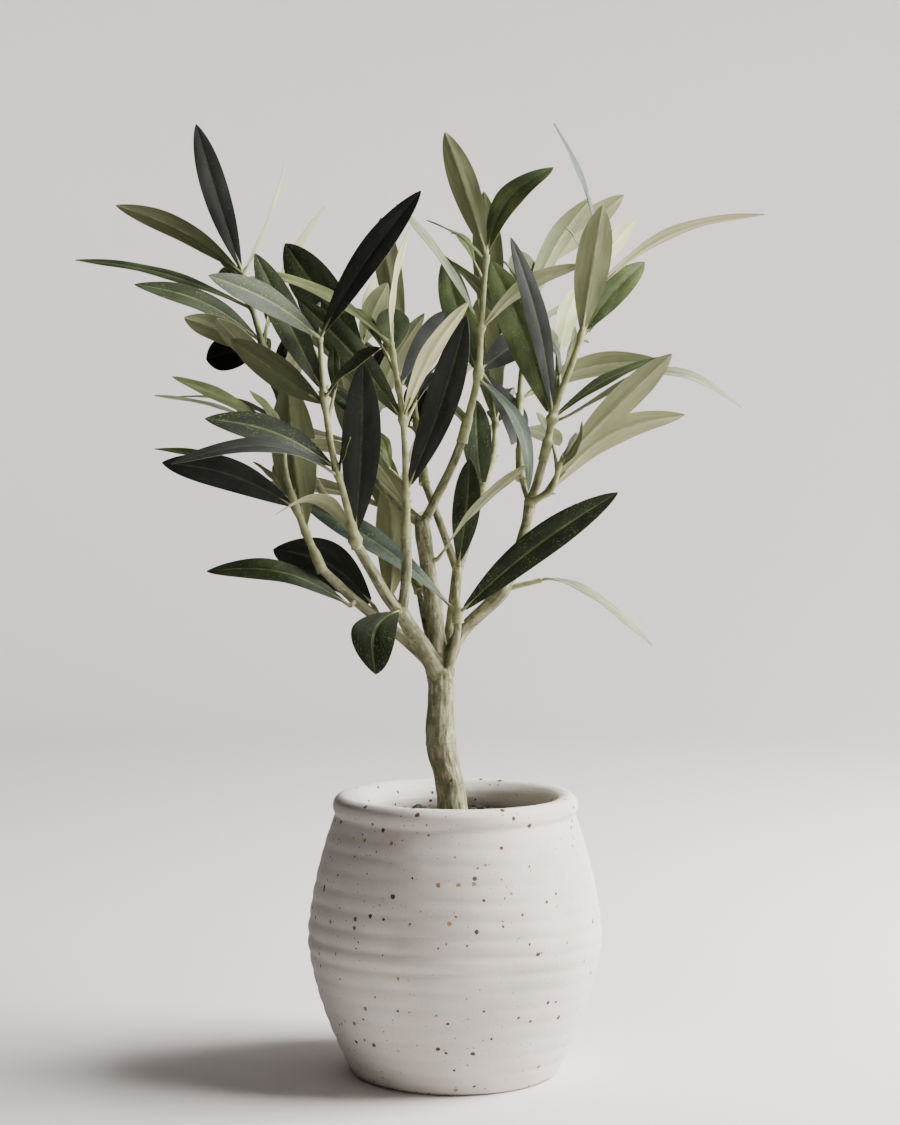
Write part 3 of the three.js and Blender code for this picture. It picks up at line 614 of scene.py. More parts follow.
def settle(piece, name, material, angle=50):
    """Names a finished piece, puts its place in its mesh, and gives it its finish."""
    pick(piece)
    bpy.ops.object.transform_apply(location=True, rotation=True, scale=True)
    bpy.ops.object.shade_smooth_by_angle(angle=math.radians(angle))
    piece.name = name
    piece.data.name = name
    if material:
        piece.data.materials.clear()
        piece.data.materials.append(material)
    return piece


def ring_up(outline, sides):
    """A turned shape: one ring, then the others drawn out of it, with both ends closed."""
    start_clean()
    radius, height = outline[0]
    bpy.ops.mesh.primitive_circle_add(
        vertices=sides, radius=radius * MM, location=(0, 0, height * MM), fill_type="NGON",
    )
    bpy.ops.object.mode_set(mode="EDIT")
    bpy.ops.mesh.select_all(action="SELECT")
    for new_radius, new_height in outline[1:]:
        rise = (0, 0, (new_height - height) * MM)
        bpy.ops.mesh.extrude_edges_move(TRANSFORM_OT_translate={"value": rise})
        growth = new_radius / radius
        bpy.ops.transform.resize(value=(growth, growth, 1))
        radius, height = new_radius, new_height
    bpy.ops.mesh.edge_face_add()
    bpy.ops.mesh.select_all(action="SELECT")
    bpy.ops.mesh.normals_make_consistent(inside=False)
    bpy.ops.object.mode_set(mode="OBJECT")
    return bpy.context.object


def corners(piece):
    places = np.empty(3 * len(piece.data.vertices))
    piece.data.vertices.foreach_get("co", places)
    return places.reshape(-1, 3) / MM


def move_corners(piece, places):
    piece.data.vertices.foreach_set("co", (places * MM).ravel())
    piece.data.update()


def drop_faces(piece, is_spare):
    """Deletes the faces that a test picks, and leaves the piece in edit mode."""
    pick(piece)
    bpy.ops.object.mode_set(mode="EDIT")
    bpy.ops.mesh.select_all(action="DESELECT")
    bpy.ops.object.mode_set(mode="OBJECT")
    for face in piece.data.polygons:
        face.select = is_spare(face)
    bpy.ops.object.mode_set(mode="EDIT")
    bpy.ops.mesh.delete(type="FACE")


def gather(shapes):
    """Many shapes, each some corners and the faces between them, as one."""
    places, faces = [], []
    count = 0
    for corners_here, faces_here in shapes:
        places.append(corners_here)
        faces += [tuple(corner + count for corner in face) for face in faces_here]
        count += len(corners_here)
    return np.vstack(places), faces


def rumple(places, size, seed=0.0):
    """Smooth noise from -1 to 1 at each place, with features of the given size."""
    return np.array([noise.noise((x / size + seed, y / size, z / size)) for x, y, z in places])


# ---------------------------------------------------------------- lines


def unit(vector):
    return vector / np.linalg.norm(vector)


class Line:
    """A smooth line through given points."""

    def __init__(self, points):
        inner = np.array(points, float)
        before = 2 * inner[0] - inner[1]
        after = 2 * inner[-1] - inner[-2]
        self.points = np.vstack([before, inner, after])
        self.spans = len(inner) - 1
        self.length = sum(np.linalg.norm(self.point(i / 60) - self.point((i - 1) / 60)) for i in range(1, 61))

    def point(self, share):
        place = share * self.spans
        start = min(int(place), self.spans - 1)
        t = place - start
        p0, p1, p2, p3 = self.points[start:start + 4]
        leaving, arriving = (p2 - p0) / 2, (p3 - p1) / 2
        cubic = 2 * p1 - 2 * p2 + leaving + arriving
        square_part = -3 * p1 + 3 * p2 - 2 * leaving - arriving
        return cubic * t**3 + square_part * t**2 + leaving * t + p1

    def frame(self, share):
        """The point there, and the directions along, to the side and to the back."""
        step = 1e-4
        along = unit(self.point(min(share + step, 1)) - self.point(max(share - step, 0)))
        side = unit(np.cross(along, (0, 1, 0)))
        return self.point(share), along, side, np.cross(side, along)


def shares(count, first=0.0, last=1.0):
    return [first + (last - first) * i / count for i in range(count + 1)]


def limb_radius(limb, share):
    foot, tip = limb["widths"]
    swells = sum(rise * math.exp(-(((share - at) / 0.1) ** 2)) for at, rise in limb.get("swells", []))
    return (foot + (tip - foot) * share + swells) / 2


# ---------------------------------------------------------------- pot and soil


def barrel_radius(height):
    above = height > POT["belly_height"]
    span = POT["neck_height"] - POT["belly_height"] if above else POT["belly_height"]
    end = POT["neck_radius"] if above else POT["foot_radius"]
    share = abs(height - POT["belly_height"]) / span
    return POT["belly_radius"] - (POT["belly_radius"] - end) * share ** POT["roundness"]


def pot_outline():
    """The pot's section from the middle of its underside round to its inner floor."""
    foot = POT["foot_radius"]
    underside = [(foot * share, 0) for share in (0.15, 0.5, 0.8, 0.94)] + [(foot - 0.9, 0.1)]
    rings = int(POT["neck_height"] / POT["ring"])
    body = [(barrel_radius(z), z) for z in shares(rings, 0.9, POT["neck_height"])]
    lip, rim, mouth = POT["lip_radius"], POT["rim_radius"], POT["mouth_radius"]
    lip_line = Line([
        (barrel_radius(POT["neck_height"]), 0, POT["neck_height"]),
        (lip, 0, POT["lip_height"] - 1.5),
        (lip - 0.4, 0, POT["lip_height"] + 1.5),
        ((lip + rim) / 2, 0, POT["rim_height"] - 0.5),
        (rim, 0, POT["rim_height"]),
        (rim - 3.3, 0, POT["rim_height"] - 1.2),
        (mouth + 0.8, 0, POT["mouth_height"] + 3.6),
        (mouth, 0, POT["mouth_height"]),
    ])
    lip_part = [(p[0], p[2]) for p in (lip_line.point(s) for s in shares(32)[1:])]
    wall = [(barrel_radius(z) - POT["wall"], z) for z in (104, 98, 78, 58, 38, 18)]
    floor = [(POT["floor_radius"], POT["floor"]), (POT["floor_radius"] * 0.2, POT["floor"])]
    return underside + body + lip_part + [(44.6, SOIL["height"])] + wall + floor


def throw_marks(angle, height):
    """How far the potter's fingers left the wall proud or low, at an angle and a height."""
    drift = THROWING["drift"] * np.sin(angle + 0.6) + 1.1 * np.sin(2 * angle + height / 31)
    wave = (height + drift) / THROWING["pitch"]
    ridge = np.abs(np.sin(np.pi * wave)) ** 0.75 - 0.62
    strength = 0.72 + 0.28 * np.cos(angle - math.radians(THROWING["strongest"]))
    uneven = 0.75 + 0.35 * np.sin(height / 9.3 + 1.3) + 0.15 * np.sin(height / 4.1)
    fade = np.clip((height - 3) / 8, 0, 1) * np.clip((POT["neck_height"] - 3 - height) / 9, 0, 1)
    return THROWING["depth"] * ridge * strength * uneven * fade


def make_pot(material):
    pot = ring_up(pot_outline(), POT["sides"])
    places = corners(pot) + np.array([0, 0, pot.location.z / MM])
    pot.location = (0, 0, 0)
    radius = np.hypot(places[:, 0], places[:, 1])
    angle = np.arctan2(places[:, 1], places[:, 0])
    height = places[:, 2]
    outer = radius > np.array([barrel_radius(min(z, POT["neck_height"])) - 3 for z in height])
    outer &= height < POT["neck_height"] + 8
    push = np.where(outer, throw_marks(angle, height), 0)
    push += 0.16 * rumple(places, 17, 3.0) + 0.05 * rumple(places, 4.5, 9.0)
    lip = np.clip((height - 112) / 6, 0, 1)
    push += lip * 0.25 * np.sin(3 * angle + 0.8)
    grown = (radius + np.where(radius > 20, push, 0)) / np.maximum(radius, 1e-6)
    places[:, 0] *= grown
    places[:, 1] *= grown
    places[:, 2] += lip * 0.22 * np.sin(2 * angle - 0.5)
    foot_wave = 0.16 * (1 + np.sin(5 * angle) * np.sin(2 * angle))
    places[:, 2] += np.where((height < 1.5) & (radius > 44), foot_wave, 0)
    move_corners(pot, places)
    return settle(pot, "stoneware_pot", material, angle=80)


def make_clump():
    """One crumb of soil: a rough ball of unit radius, as its corners and faces."""
    start_clean()
    bpy.ops.mesh.primitive_ico_sphere_add(subdivisions=2, radius=MM)
    crumb = bpy.context.object
    places = corners(crumb)
    places *= (1 + 0.3 * rumple(places, 0.9, 5.0) + 0.15 * rumple(places, 0.4, 2.0))[:, None]
    faces = [tuple(face.vertices) for face in crumb.data.polygons]
    bpy.data.objects.remove(crumb)
    return places, faces


def turn_about(axis, angle):
    """The matrix that turns about an axis by an angle in radians."""
    x, y, z = unit(np.array(axis, float))
    cross = np.array([[0, -z, y], [z, 0, -x], [-y, x, 0]])
    return np.eye(3) + math.sin(angle) * cross + (1 - math.cos(angle)) * cross @ cross


def make_soil(material):
    soil = ring_up([(SOIL["radius"] * s, SOIL["height"]) for s in shares(16)[1:]], SOIL["sides"])
    bed = corners(soil) + np.array([0, 0, soil.location.z / MM])
    inside = np.hypot(bed[:, 0], bed[:, 1]) < SOIL["radius"] - 1
    bed[:, 2] += np.where(inside, 0.5 + 1.1 * rumple(bed, 9, 1.0) + 0.5 * rumple(bed, 3, 4.0), 0)
    bed_faces = [tuple(face.vertices) for face in soil.data.polygons]
    bpy.data.objects.remove(soil)
    crumb, crumb_faces = make_clump()
    lots = np.random.default_rng(SOIL["seed"])
    shapes = [(bed, bed_faces)]
    for _ in range(SOIL["clumps"]):
        size = SOIL["smallest"] + (SOIL["largest"] - SOIL["smallest"]) * lots.random() ** 2
        reach = (SOIL["radius"] - size - 0.5) * math.sqrt(lots.random())
        angle = lots.random() * 2 * math.pi
        turned = crumb @ turn_about(lots.normal(size=3), lots.random() * 6).T
        squash = size * np.array([1, 0.75 + 0.4 * lots.random(), 0.6 + 0.3 * lots.random()])
        spot = (reach * math.cos(angle), reach * math.sin(angle), SOIL["height"] + 0.35 * size)
        shapes.append((turned * squash + spot, crumb_faces))
    return mesh_piece("potting_soil", *gather(shapes), [material], angle=40)


def mesh_piece(name, places, faces, materials, paints=None, uvs=None, angle=50):
    """A piece from arrays of corners and faces, with a finish for each face."""
    start_clean()
    mesh = bpy.data.meshes.new(name)
    mesh.from_pydata((np.asarray(places) * MM).tolist(), [], faces)
    for material in materials:
        mesh.materials.append(material)
    if paints is not None:
        mesh.polygons.foreach_set("material_index", paints)
    if uvs is not None:
        layer = mesh.uv_layers.new(name="blade")
        loops = np.empty(len(mesh.loops), int)
        mesh.loops.foreach_get("vertex_index", loops)
        layer.data.foreach_set("uv", (np.asarray(uvs)[loops] * MM).ravel())
    piece = bpy.data.objects.new(name, mesh)
    bpy.context.collection.objects.link(piece)
    return settle(piece, name, None, angle)


# ---------------------------------------------------------------- trunk and boughs


def draw_limb(name, limb):
    """A limb as a round path whose width follows the limb's own taper."""
    start_clean()
    bpy.ops.curve.primitive_nurbs_path_add(radius=1, location=(0, 0, 0))
    path = bpy.context.object
    path.name = name
    line = Line(limb["line"])
    curve = path.data
    curve.splines.clear()
    spline = curve.splines.new("POLY")
    stops = shares(max(8, int(line.length / 1.5)))
    spline.points.add(len(stops) - 1)
    for spot, share in zip(spline.points, stops):
        spot.co = (*(line.point(share) * MM), 1)
        spot.radius = limb_radius(limb, share)
    curve.dimensions = "3D"
    curve.bevel_depth = MM
    curve.bevel_resolution = 5
    curve.use_fill_caps = True
    pick(path)
    bpy.ops.object.convert(target="MESH")
    return bpy.context.object


def limb_places(places):
    """For each place on the bark: its limb's radius there, and its place on the straightened limb."""
    spots = []
    stations, batch = BARK["stations"], BARK["batch"]
    for limb in LIMBS.values():
        line = Line(limb["line"])
        for share in shares(stations):
            centre, along, side, back = line.frame(share)
            spots.append((centre, along, side, back, share * line.length, limb_radius(limb, share)))
    centres, alongs, sides, backs, lengths, radii = (np.array(column) for column in zip(*spots))
    nearest = np.empty(len(places), int)
    for start in range(0, len(places), batch):
        part = places[start:start + batch]
        gaps = np.linalg.norm(part[:, None] - centres[None], axis=2) - radii[None]
        nearest[start:start + batch] = gaps.argmin(axis=1)
    shift = BARK["apart"] * (nearest // (stations + 1))
    offset = places - centres[nearest]
    straight = np.stack([
        (offset * sides[nearest]).sum(1),
        (offset * backs[nearest]).sum(1),
        (offset * alongs[nearest]).sum(1) + lengths[nearest] + shift,
    ], axis=1)
    return radii[nearest], straight


def make_bark(material):
    paths = [draw_limb(name, limb) for name, limb in LIMBS.items()]
    start_clean()
    for path in paths:
        path.select_set(True)
    bpy.context.view_layer.objects.active = paths[0]
    bpy.ops.object.join()
    bark = bpy.context.object
    apply_modifier(bark, "REMESH", mode="VOXEL", voxel_size=BARK["voxel"] * MM)
    apply_modifier(bark, "SMOOTH", factor=0.5, iterations=6)
    pick(bark)
    bpy.ops.object.mode_set(mode="EDIT")
    bpy.ops.mesh.select_all(action="SELECT")
    cut = (SOIL["height"] + 0.3) * MM
    bpy.ops.mesh.bisect(plane_co=(0, 0, cut), plane_no=(0, 0, 1), clear_inner=True, use_fill=True)
    bpy.ops.object.mode_set(mode="OBJECT")
    places = corners(bark)
    normals = np.array([corner.normal for corner in bark.data.vertices])
    radii, straight = limb_places(places)
    girth = np.clip(radii / 6, 0.25, 1)
    stretch = np.array([1, 1, BARK["streak_width"] / BARK["streak_length"]])
    push = BARK["streak"] * girth * rumple(straight * stretch, BARK["streak_width"])
    push += 0.5 * BARK["streak"] * girth * rumple(straight * stretch, BARK["streak_width"] / 2.3, 7.0)
    push += BARK["lump"] * girth * rumple(places, BARK["lump_size"], 2.0)
    for place, size, rise in KNOTS:
        push += rise * np.exp(-(((places - place) / size) ** 2).sum(1))
    tilted = places[:, 2] - SCAR["height"] - SCAR["tilt"] * (places[:, 0] + 6)
    push += SCAR["rise"] * np.exp(-((tilted / SCAR["length"]) ** 2)) * (places[:, 0] > -40)
    level = places[:, 2] > SOIL["height"] + 0.6
    places += normals * np.where(level, push, 0)[:, None]
    move_corners(bark, places)
    grain = bark.data.attributes.new("grain", "FLOAT_VECTOR", "POINT")
    grain.data.foreach_set("vector", (straight * MM).ravel())
    return settle(bark, "trunk_and_boughs", material, angle=80)


# ---------------------------------------------------------------- leaves


class Lots:
    """The seeded numbers that the sprigs grow by."""

    def __init__(self, seed):
        self.seed = seed

    def spread(self, amount):
        self.seed = (self.seed * 16807) % 2147483647
        return (self.seed / 2147483647 - 0.5) * amount


def square(direction, reference):
    reference = np.array(reference, float)
    return unit(reference - direction * reference.dot(direction))


def facing(direction, face):
    """The upper side's direction for a leaf that faces the front by the given angle."""
    front = square(direction, (0, -1, 0))
    up = np.cross(direction, front)
    up = -up if up[2] < 0 else up
    return front * math.cos(math.radians(face)) + up * math.sin(math.radians(face))


def headed(heading, lean):
    turn, tilt = math.radians(heading), math.radians(lean)
    return np.array([math.cos(turn) * math.cos(tilt), math.sin(tilt), math.sin(turn) * math.cos(tilt)])


def leaned(direction, turn):
    """Turns a direction away from the front."""
    away = square(direction, (0, 1, 0))
    return direction * math.cos(math.radians(turn)) + away * math.sin(math.radians(turn))


class Blade:
    """One leaf's place and shape, from its plan, turned away from the front by an angle."""

    def __init__(self, plan, turn):
        self.plan = plan
        self.root = plan["root"]
        self.direction = leaned(plan["direction"], turn)
        across = math.sqrt(max(0.04, 1 - self.direction[1] ** 2))
        self.length = min(plan["reach"] / across, LEAF["longest"])
        face = plan["face"]
        self.upper = square(self.direction, plan["above"]) if face is None else facing(self.direction, face)
        self.side = np.cross(self.direction, self.upper)

    def half_width(self, along):
        least = LEAF["petiole"] + (LEAF["tip"] - LEAF["petiole"]) * along
        widest = 1 / (1 + LEAF["bluntness"])
        outline = along / widest * (np.maximum(0, 1 - along) / (1 - widest)) ** LEAF["bluntness"]
        return np.maximum(least, self.plan["width"] / 2 * outline)

    def frames(self, along):
        """The centres at shares of its length, and the directions across and upward there."""
        plan = self.plan
        bend = np.sin(math.pi * along ** (math.log(0.5) / math.log(plan["peak"])))
        centres = self.root + np.outer(self.length * along, self.direction)
        centres += np.outer(plan["arch"] * self.length * bend, self.upper)
        centres += np.outer(plan["sway"] * self.length * np.sin(math.pi * along), self.side)
        angles = math.radians(plan["twist"]) * along
        sides = np.outer(np.cos(angles), self.side) + np.outer(np.sin(angles), self.upper)
        return centres, sides, np.cross(sides, self.direction)

    def samples(self):
        along = np.array(shares(14, 0.2, 1))
        centres, sides, _ = self.frames(along)
        across = np.array([-0.9, -0.45, 0, 0.45, 0.9])
        offsets = np.outer(self.half_width(along), across)[..., None] * sides[:, None]
        return (centres[:, None] + offsets).reshape(-1, 3)


def keeps_open(samples):
    """Whether none of the places stands in the line of sight through an opening."""
    eye = np.array(VIEWPOINT, float)
    scale = eye[1] / (eye[1] - samples[:, 1])
    seen = eye + (samples - eye) * scale[:, None]
    return all(np.hypot(seen[:, 0] - x, seen[:, 2] - z).min() >= radius for x, z, radius in OPENINGS)


class Crown:
    """The room that limbs, stems and leaves have taken, and the leaves that grew in it."""

    def __init__(self):
        places, radii, owners = [], [], []
        for limb in LIMBS.values():
            line = Line(limb["line"])
            places += [line.point(share) for share in shares(20)]
            radii += [limb_radius(limb, share) for share in shares(20)]
            owners += [None] * 21
        for name, sprig in SPRIGS.items():
            line = Line(sprig["stem"])
            places += [line.point(share) for share in shares(20)]
            radii += [STEM["foot"]] * 21
            owners += [name] * 21
        self.places = np.array(places)
        self.radii = np.array(radii)
        self.owners = np.array(owners, dtype=object)
        self.taken = []
        self.blades = []

    def is_clear(self, samples, owner):
        others = self.owners != owner
        gaps = np.linalg.norm(samples[:, None] - self.places[others][None], axis=2)
        if (gaps < self.radii[others] + CLEAR_LIMB).any():
            return False
        middle = samples[len(samples) // 2]
        for name, near in self.taken:
            least = CLEAR_OWN if name == owner else CLEAR_OTHER
            if np.linalg.norm(middle - near[len(near) // 2]) > LEAF["longest"] + least:
                continue
            if np.linalg.norm(samples[:, None] - near[None], axis=2).min() < least:
                return False
        return True

    def grow(self, owner, plans, lots):
        for plan in plans:
            plan["sway"] += lots.spread(UNEVEN["sway"])
            plan["twist"] += lots.spread(UNEVEN["twist"])
            is_placed = plan["face"] is not None
            for turn in TURNS:
                blade = Blade(plan, turn)
                samples = blade.samples()
                if (is_placed or keeps_open(samples)) and self.is_clear(samples, owner):
                    self.taken.append((owner, samples))
                    self.blades.append(blade)
                    break


def placed_plans(line, rows):
    return [
        dict(row, root=line.point(row["at"]), direction=headed(row["heading"], row["lean"]), above=None)
        for row in rows
    ]


def free_plan(tone, root, direction, length, width, above):
    """A leaf that a rule adds: its upper side faces the way that its stem grows."""
    return dict(
        tone=tone, root=root, direction=direction, reach=length * math.sqrt(1 - direction[1] ** 2),
        width=width, face=None, above=above, arch=PAIR["arch"], twist=0, peak=0.5, sway=0,
    )


def paired_plans(line, pairs, lots):
    """Opposite pairs, each turned a quarter from the pair below it."""
    plans = []
    for order, at in enumerate(pairs["shares"]):
        centre, along, side, back = line.frame(at)
        for half in (0, 180):
            turn = math.radians(pairs["turn"] + 90 * order + half + lots.spread(PAIR["turn_spread"]))
            away = math.radians(PAIR["away"] + lots.spread(PAIR["away_spread"]))
            direction = along * math.cos(away) + side * (math.cos(turn) * math.sin(away))
            direction = direction + back * (math.sin(turn) * math.sin(away))
            length = pairs["length"] * (1 + lots.spread(PAIR["size_spread"]))
            width = pairs["width"] * (1 + lots.spread(PAIR["size_spread"]))
            tone = PAIR_TONES[len(plans) % len(PAIR_TONES)]
            plans.append(free_plan(tone, centre, direction, length, width, along))
    return plans


def grow_crown():
    """Grows every sprig's leaves. Each leaf that finds no room is left out."""
    crown = Crown()
    lots = Lots(CROWN_SEED)
    for name, sprig in SPRIGS.items():
        line = Line(sprig["stem"])
        plans = placed_plans(line, sprig["leaves"])
        if "pairs" in sprig:
            plans += paired_plans(line, sprig["pairs"], lots)
        crown.grow(name, plans, lots)
        if "side" in sprig:
            side = sprig["side"]
            crown.grow(name, placed_plans(Line(side["stem"]), side["leaves"]), lots)
    return crown


def grow_shoots(crown):
    """Fine shoots behind each long stem, each with a pair of small leaves where there is room."""
    lots = Lots(SHOOTS["seed"])
    grown = []
    for name, sprig in SPRIGS.items():
        if not name.startswith("sprig"):
            continue
        line = Line(sprig["stem"])
        for order, at in enumerate(SHOOTS["shares"]):
            centre, along, side, back = line.frame(at)
            turn = math.radians(SHOOTS["turn"] * (1 + order % 2) + lots.spread(SHOOTS["turn_spread"]))
            away = math.radians(SHOOTS["away"] + lots.spread(SHOOTS["away_spread"]))
            direction = along * math.cos(away)
            direction = direction + (side * math.cos(turn) + back * math.sin(turn)) * math.sin(away)
            tip = centre + direction * SHOOTS["length"] * (1 + lots.spread(SHOOTS["length_spread"]))
            plans = []
            for half in (-1, 1):
                apart = half * SHOOTS["fork"] * np.cross(direction, (0, 0, 1))
                heading = unit(direction + apart + (0, 0, SHOOTS["lift"]))
                tone = PAIR_TONES[(order + half) % len(PAIR_TONES)]
                length = SHOOTS["leaf"] * (1 + lots.spread(SHOOTS["leaf_spread"]))
                plans.append(free_plan(tone, tip, heading, length, SHOOTS["width"], along))
            before = len(crown.blades)
            crown.grow(name, plans, lots)
            if len(crown.blades) > before:
                grown.append([centre, (centre + tip) / 2 + along * SHOOTS["bow"], tip])
    return grown


# Places across a blade, as shares of its half width: the edge, the web, and the rib.
ACROSS = np.array([-1, -0.82, -0.5, -0.17, -0.07, 0.07, 0.17, 0.5, 0.82, 1])
RIB_STRIP = len(ACROSS) // 2 - 1


def blade_mesh(blade, order):
    """A thin leaf, folded at its rib, with its corners, faces, paints by face and its flat map."""
    ease = np.array(shares(BLADE["steps"]))
    along = BLADE["start"] + (1 - BLADE["start"]) * (0.6 * ease + 0.4 * (1 - np.cos(math.pi * ease)) / 2)
    centres, sides, uppers = blade.frames(along)
    least = LEAF["petiole"] + (LEAF["tip"] - LEAF["petiole"]) * along
    half = np.maximum(least, blade.half_width(along) * LEAF["fullness"])
    reach = np.abs(ACROSS)
    rib = np.clip(1 - reach / 0.17, 0, 1)
    cup = BLADE["fold"] * np.outer(half, reach * (1.5 - reach))
    wave = BLADE["wave"] * np.outer(np.sin(2 * math.pi * (2.2 * along + order * 0.37)), reach**2)
    tapered = np.sin(math.pi * along)[:, None]
    top = cup + wave * np.sign(ACROSS) * tapered - BLADE["groove"] * rib * tapered
    thick = BLADE["edge"] + (BLADE["thickness"] - BLADE["edge"]) * (1 - reach**2)
    low = top - thick - BLADE["ridge"] * rib * (1 - 0.6 * along)[:, None]
    spread = np.outer(half, ACROSS)[..., None] * sides[:, None]
    upper = centres[:, None] + spread + top[..., None] * uppers[:, None]
    under = centres[:, None] + spread + low[..., None] * uppers[:, None]
    rows, columns = len(along), len(ACROSS)
    size = rows * columns
    faces, paints = [], []
    for i in range(rows - 1):
        for j in range(columns - 1):
            a, b = i * columns + j, (i + 1) * columns + j
            faces.append((a, a + 1, b + 1, b))
            faces.append((size + a, size + b, size + b + 1, size + a + 1))
            paints += [2, 3] if j == RIB_STRIP else [0, 1]
        for j, flip in ((0, False), (columns - 1, True)):
            a, b = i * columns + j, (i + 1) * columns + j
            edge = (a, b, size + b, size + a)
            faces.append(edge[::-1] if flip else edge)
            paints.append(1)
    for i, flip in ((0, True), (rows - 1, False)):
        for j in range(columns - 1):
            a = i * columns + j
            edge = (a, a + 1, size + a + 1, size + a)
            faces.append(edge if flip else edge[::-1])
            paints.append(1)
    flat = np.stack([
        np.repeat(along * blade.length + 97.3 * order, columns),
        (half[:, None] * ACROSS).ravel() + 13.1 * order,
    ], axis=1)
    places = np.vstack([upper.reshape(-1, 3), under.reshape(-1, 3)])
    return places, faces, paints, np.vstack([flat, flat + 5])


def make_leaves(blades, finishes):
    names = sorted(finishes)
    shapes, paints, maps = [], [], []
    for order, blade in enumerate(blades):
        places, faces, sides_here, map_here = blade_mesh(blade, order)
        tone = [names.index(name) for name in TONES[blade.plan["tone"]]]
        shapes.append((places, faces))
        paints += [tone[side] for side in sides_here]
        maps.append(map_here)
    materials = [finishes[name] for name in names]
    return mesh_piece("olive_leaves", *gather(shapes), materials, paints, np.vstack(maps), angle=55)


# ---------------------------------------------------------------- stems


def tube(spots, sides):
    """A closed tube through spots, each a centre, a side, a back and a radius."""
    angles = np.arange(sides) * 2 * math.pi / sides
    rings = [
        centre + radius * (np.outer(np.cos(angles), side) + np.outer(np.sin(angles), back))
        for centre, side, back, radius in spots
    ]
    faces = []
    for i in range(len(rings) - 1):
        for j in range(sides):
            a, b = i * sides + j, i * sides + (j + 1) % sides
            faces.append((a, a + sides, b + sides, b))
    faces.append(tuple(range(sides)))
    faces.append(tuple(range((len(rings) - 1) * sides, len(rings) * sides))[::-1])
    return np.vstack(rings), faces


def stem_spots(points, nodes, is_short=False):
    """A moulded stem: a collar over the twig's end, a taper, and a swelling at each leaf."""
    line = Line(points)
    sleeve = STEM["sleeve_share"] * line.length
    start = 0 if is_short else -COLLAR["overlap"]
    spots = []
    for distance in np.linspace(start, line.length, max(6, int(line.length / STEM["ring"]))):
        share = max(0, distance / line.length)
        centre, along, side, back = line.frame(share)
        centre = centre + along * min(0, distance)
        if is_short:
            radius = STEM["tip"] + 0.5 * (1 - share) ** 2
        else:
            radius = STEM["foot"] + (STEM["tip"] - STEM["foot"]) * share
            step = 1 / (1 + math.exp((distance - sleeve) / COLLAR["step"] * 4))
            radius += (STEM["sleeve"] - STEM["foot"] + 0.12) * step
            radius += COLLAR["lip"] * math.exp(-((distance - start) / COLLAR["lip_length"]) ** 2)
            radius += sum(
                NODE["swell"] * math.exp(-((distance - at * line.length) / NODE["length"]) ** 2)
                for at in nodes
            )
        radius *= 1 + 0.05 * noise.noise(centre / 2.4)
        spots.append((centre, side, back, radius))
    return spots


def bud_spots(line, share, side_sign, size=1.0):
    """A pointed bud in the crook of a leaf, or at a stem's tip when side_sign is 0."""
    centre, along, side, _ = line.frame(share)
    direction = unit(along + side * 0.75 * side_sign)
    across = unit(np.cross(direction, (0, 1, 0)))
    back = np.cross(across, direction)
    length = NODE["bud"] * size
    widths = ((0, 0.9), (0.25, 1), (0.5, 0.85), (0.75, 0.5), (1, 0.1))
    return [
        (centre + direction * length * s, across, back, NODE["bud_radius"] * size * w) for s, w in widths
    ]


def stalk_spots(blade):
    """A leaf's stalk, from the stem into the leaf's rib."""
    along = np.array(shares(STALK["rings"], 0, STALK["share"]))
    centres, sides, uppers = blade.frames(along)
    spots = []
    for share, centre, side, upper in zip(along, centres, sides, uppers):
        part = share / STALK["share"]
        radius = STALK["end"] + (STALK["root"] - STALK["end"]) * (1 - part) ** 2
        radius *= min(1, blade.plan["width"] / 9)
        spots.append((centre - upper * (0.25 + 0.3 * part), side, -upper, radius))
    return spots


def make_stems(crown, shoots, material):
    tubes = []
    for name, sprig in SPRIGS.items():
        stems = [(sprig["stem"], sprig["leaves"], sprig.get("pairs"), len(sprig["stem"]) < 3)]
        if "side" in sprig:
            stems.append((sprig["side"]["stem"], sprig["side"]["leaves"], None, True))
        for points, rows, pairs, is_short in stems:
            nodes = sorted({row["at"] for row in rows} | set(pairs["shares"] if pairs else ()))
            tubes.append(tube(stem_spots(points, nodes, is_short), STEM["sides"]))
            if is_short:
                continue
            line = Line(points)
            tubes.append(tube(bud_spots(line, 1, 0, 1.1), 8))
            for order, at in enumerate(at for at in nodes if 0.15 < at < 0.97):
                tubes.append(tube(bud_spots(line, at, 1 if order % 2 else -1), 8))
    for points in shoots:
        line = Line(points)
        spots = [(*np.delete(line.frame(s), 1, 0), 0.95 - 0.35 * s) for s in shares(8)]
        tubes.append(tube(spots, 8))
        tubes.append(tube(bud_spots(line, 1, 0, 0.8), 6))
    tubes += [tube(stalk_spots(blade), STALK["sides"]) for blade in crown.blades]
    return mesh_piece("green_stems", *gather(tubes), [material], angle=60)


# ---------------------------------------------------------------- stage, light and camera

STAGE = dict(floor=1300, bend=650, wall=1500, sides=96)
# The flag stands round the pot from one bearing to another, counted from +X.
FLAG = dict(out=340, foot=5, top=900, start=135, end=270, sides=36)
MIDDLE = (0, 0, 200)
# A light's size is in metres and its power in watts.
LIGHTS = dict(
    window=dict(place=(1050, 0, 900), aim=MIDDLE, size=0.8, power=84, colour=(1.0, 0.985, 0.96)),
    front_fill=dict(place=(350, -1150, 1100), aim=MIDDLE, size=1.1, power=1),
    wall_wash=dict(place=(1300, 500, 1200), aim=(1150, 1500, 500), size=1.0, power=26),
)
SURROUND = dict(colour=(1.0, 0.99, 0.985, 1.0), strength=0.05)
CAMERA = dict(place=VIEWPOINT, tilt=88, lens=68.9, sensor=36)


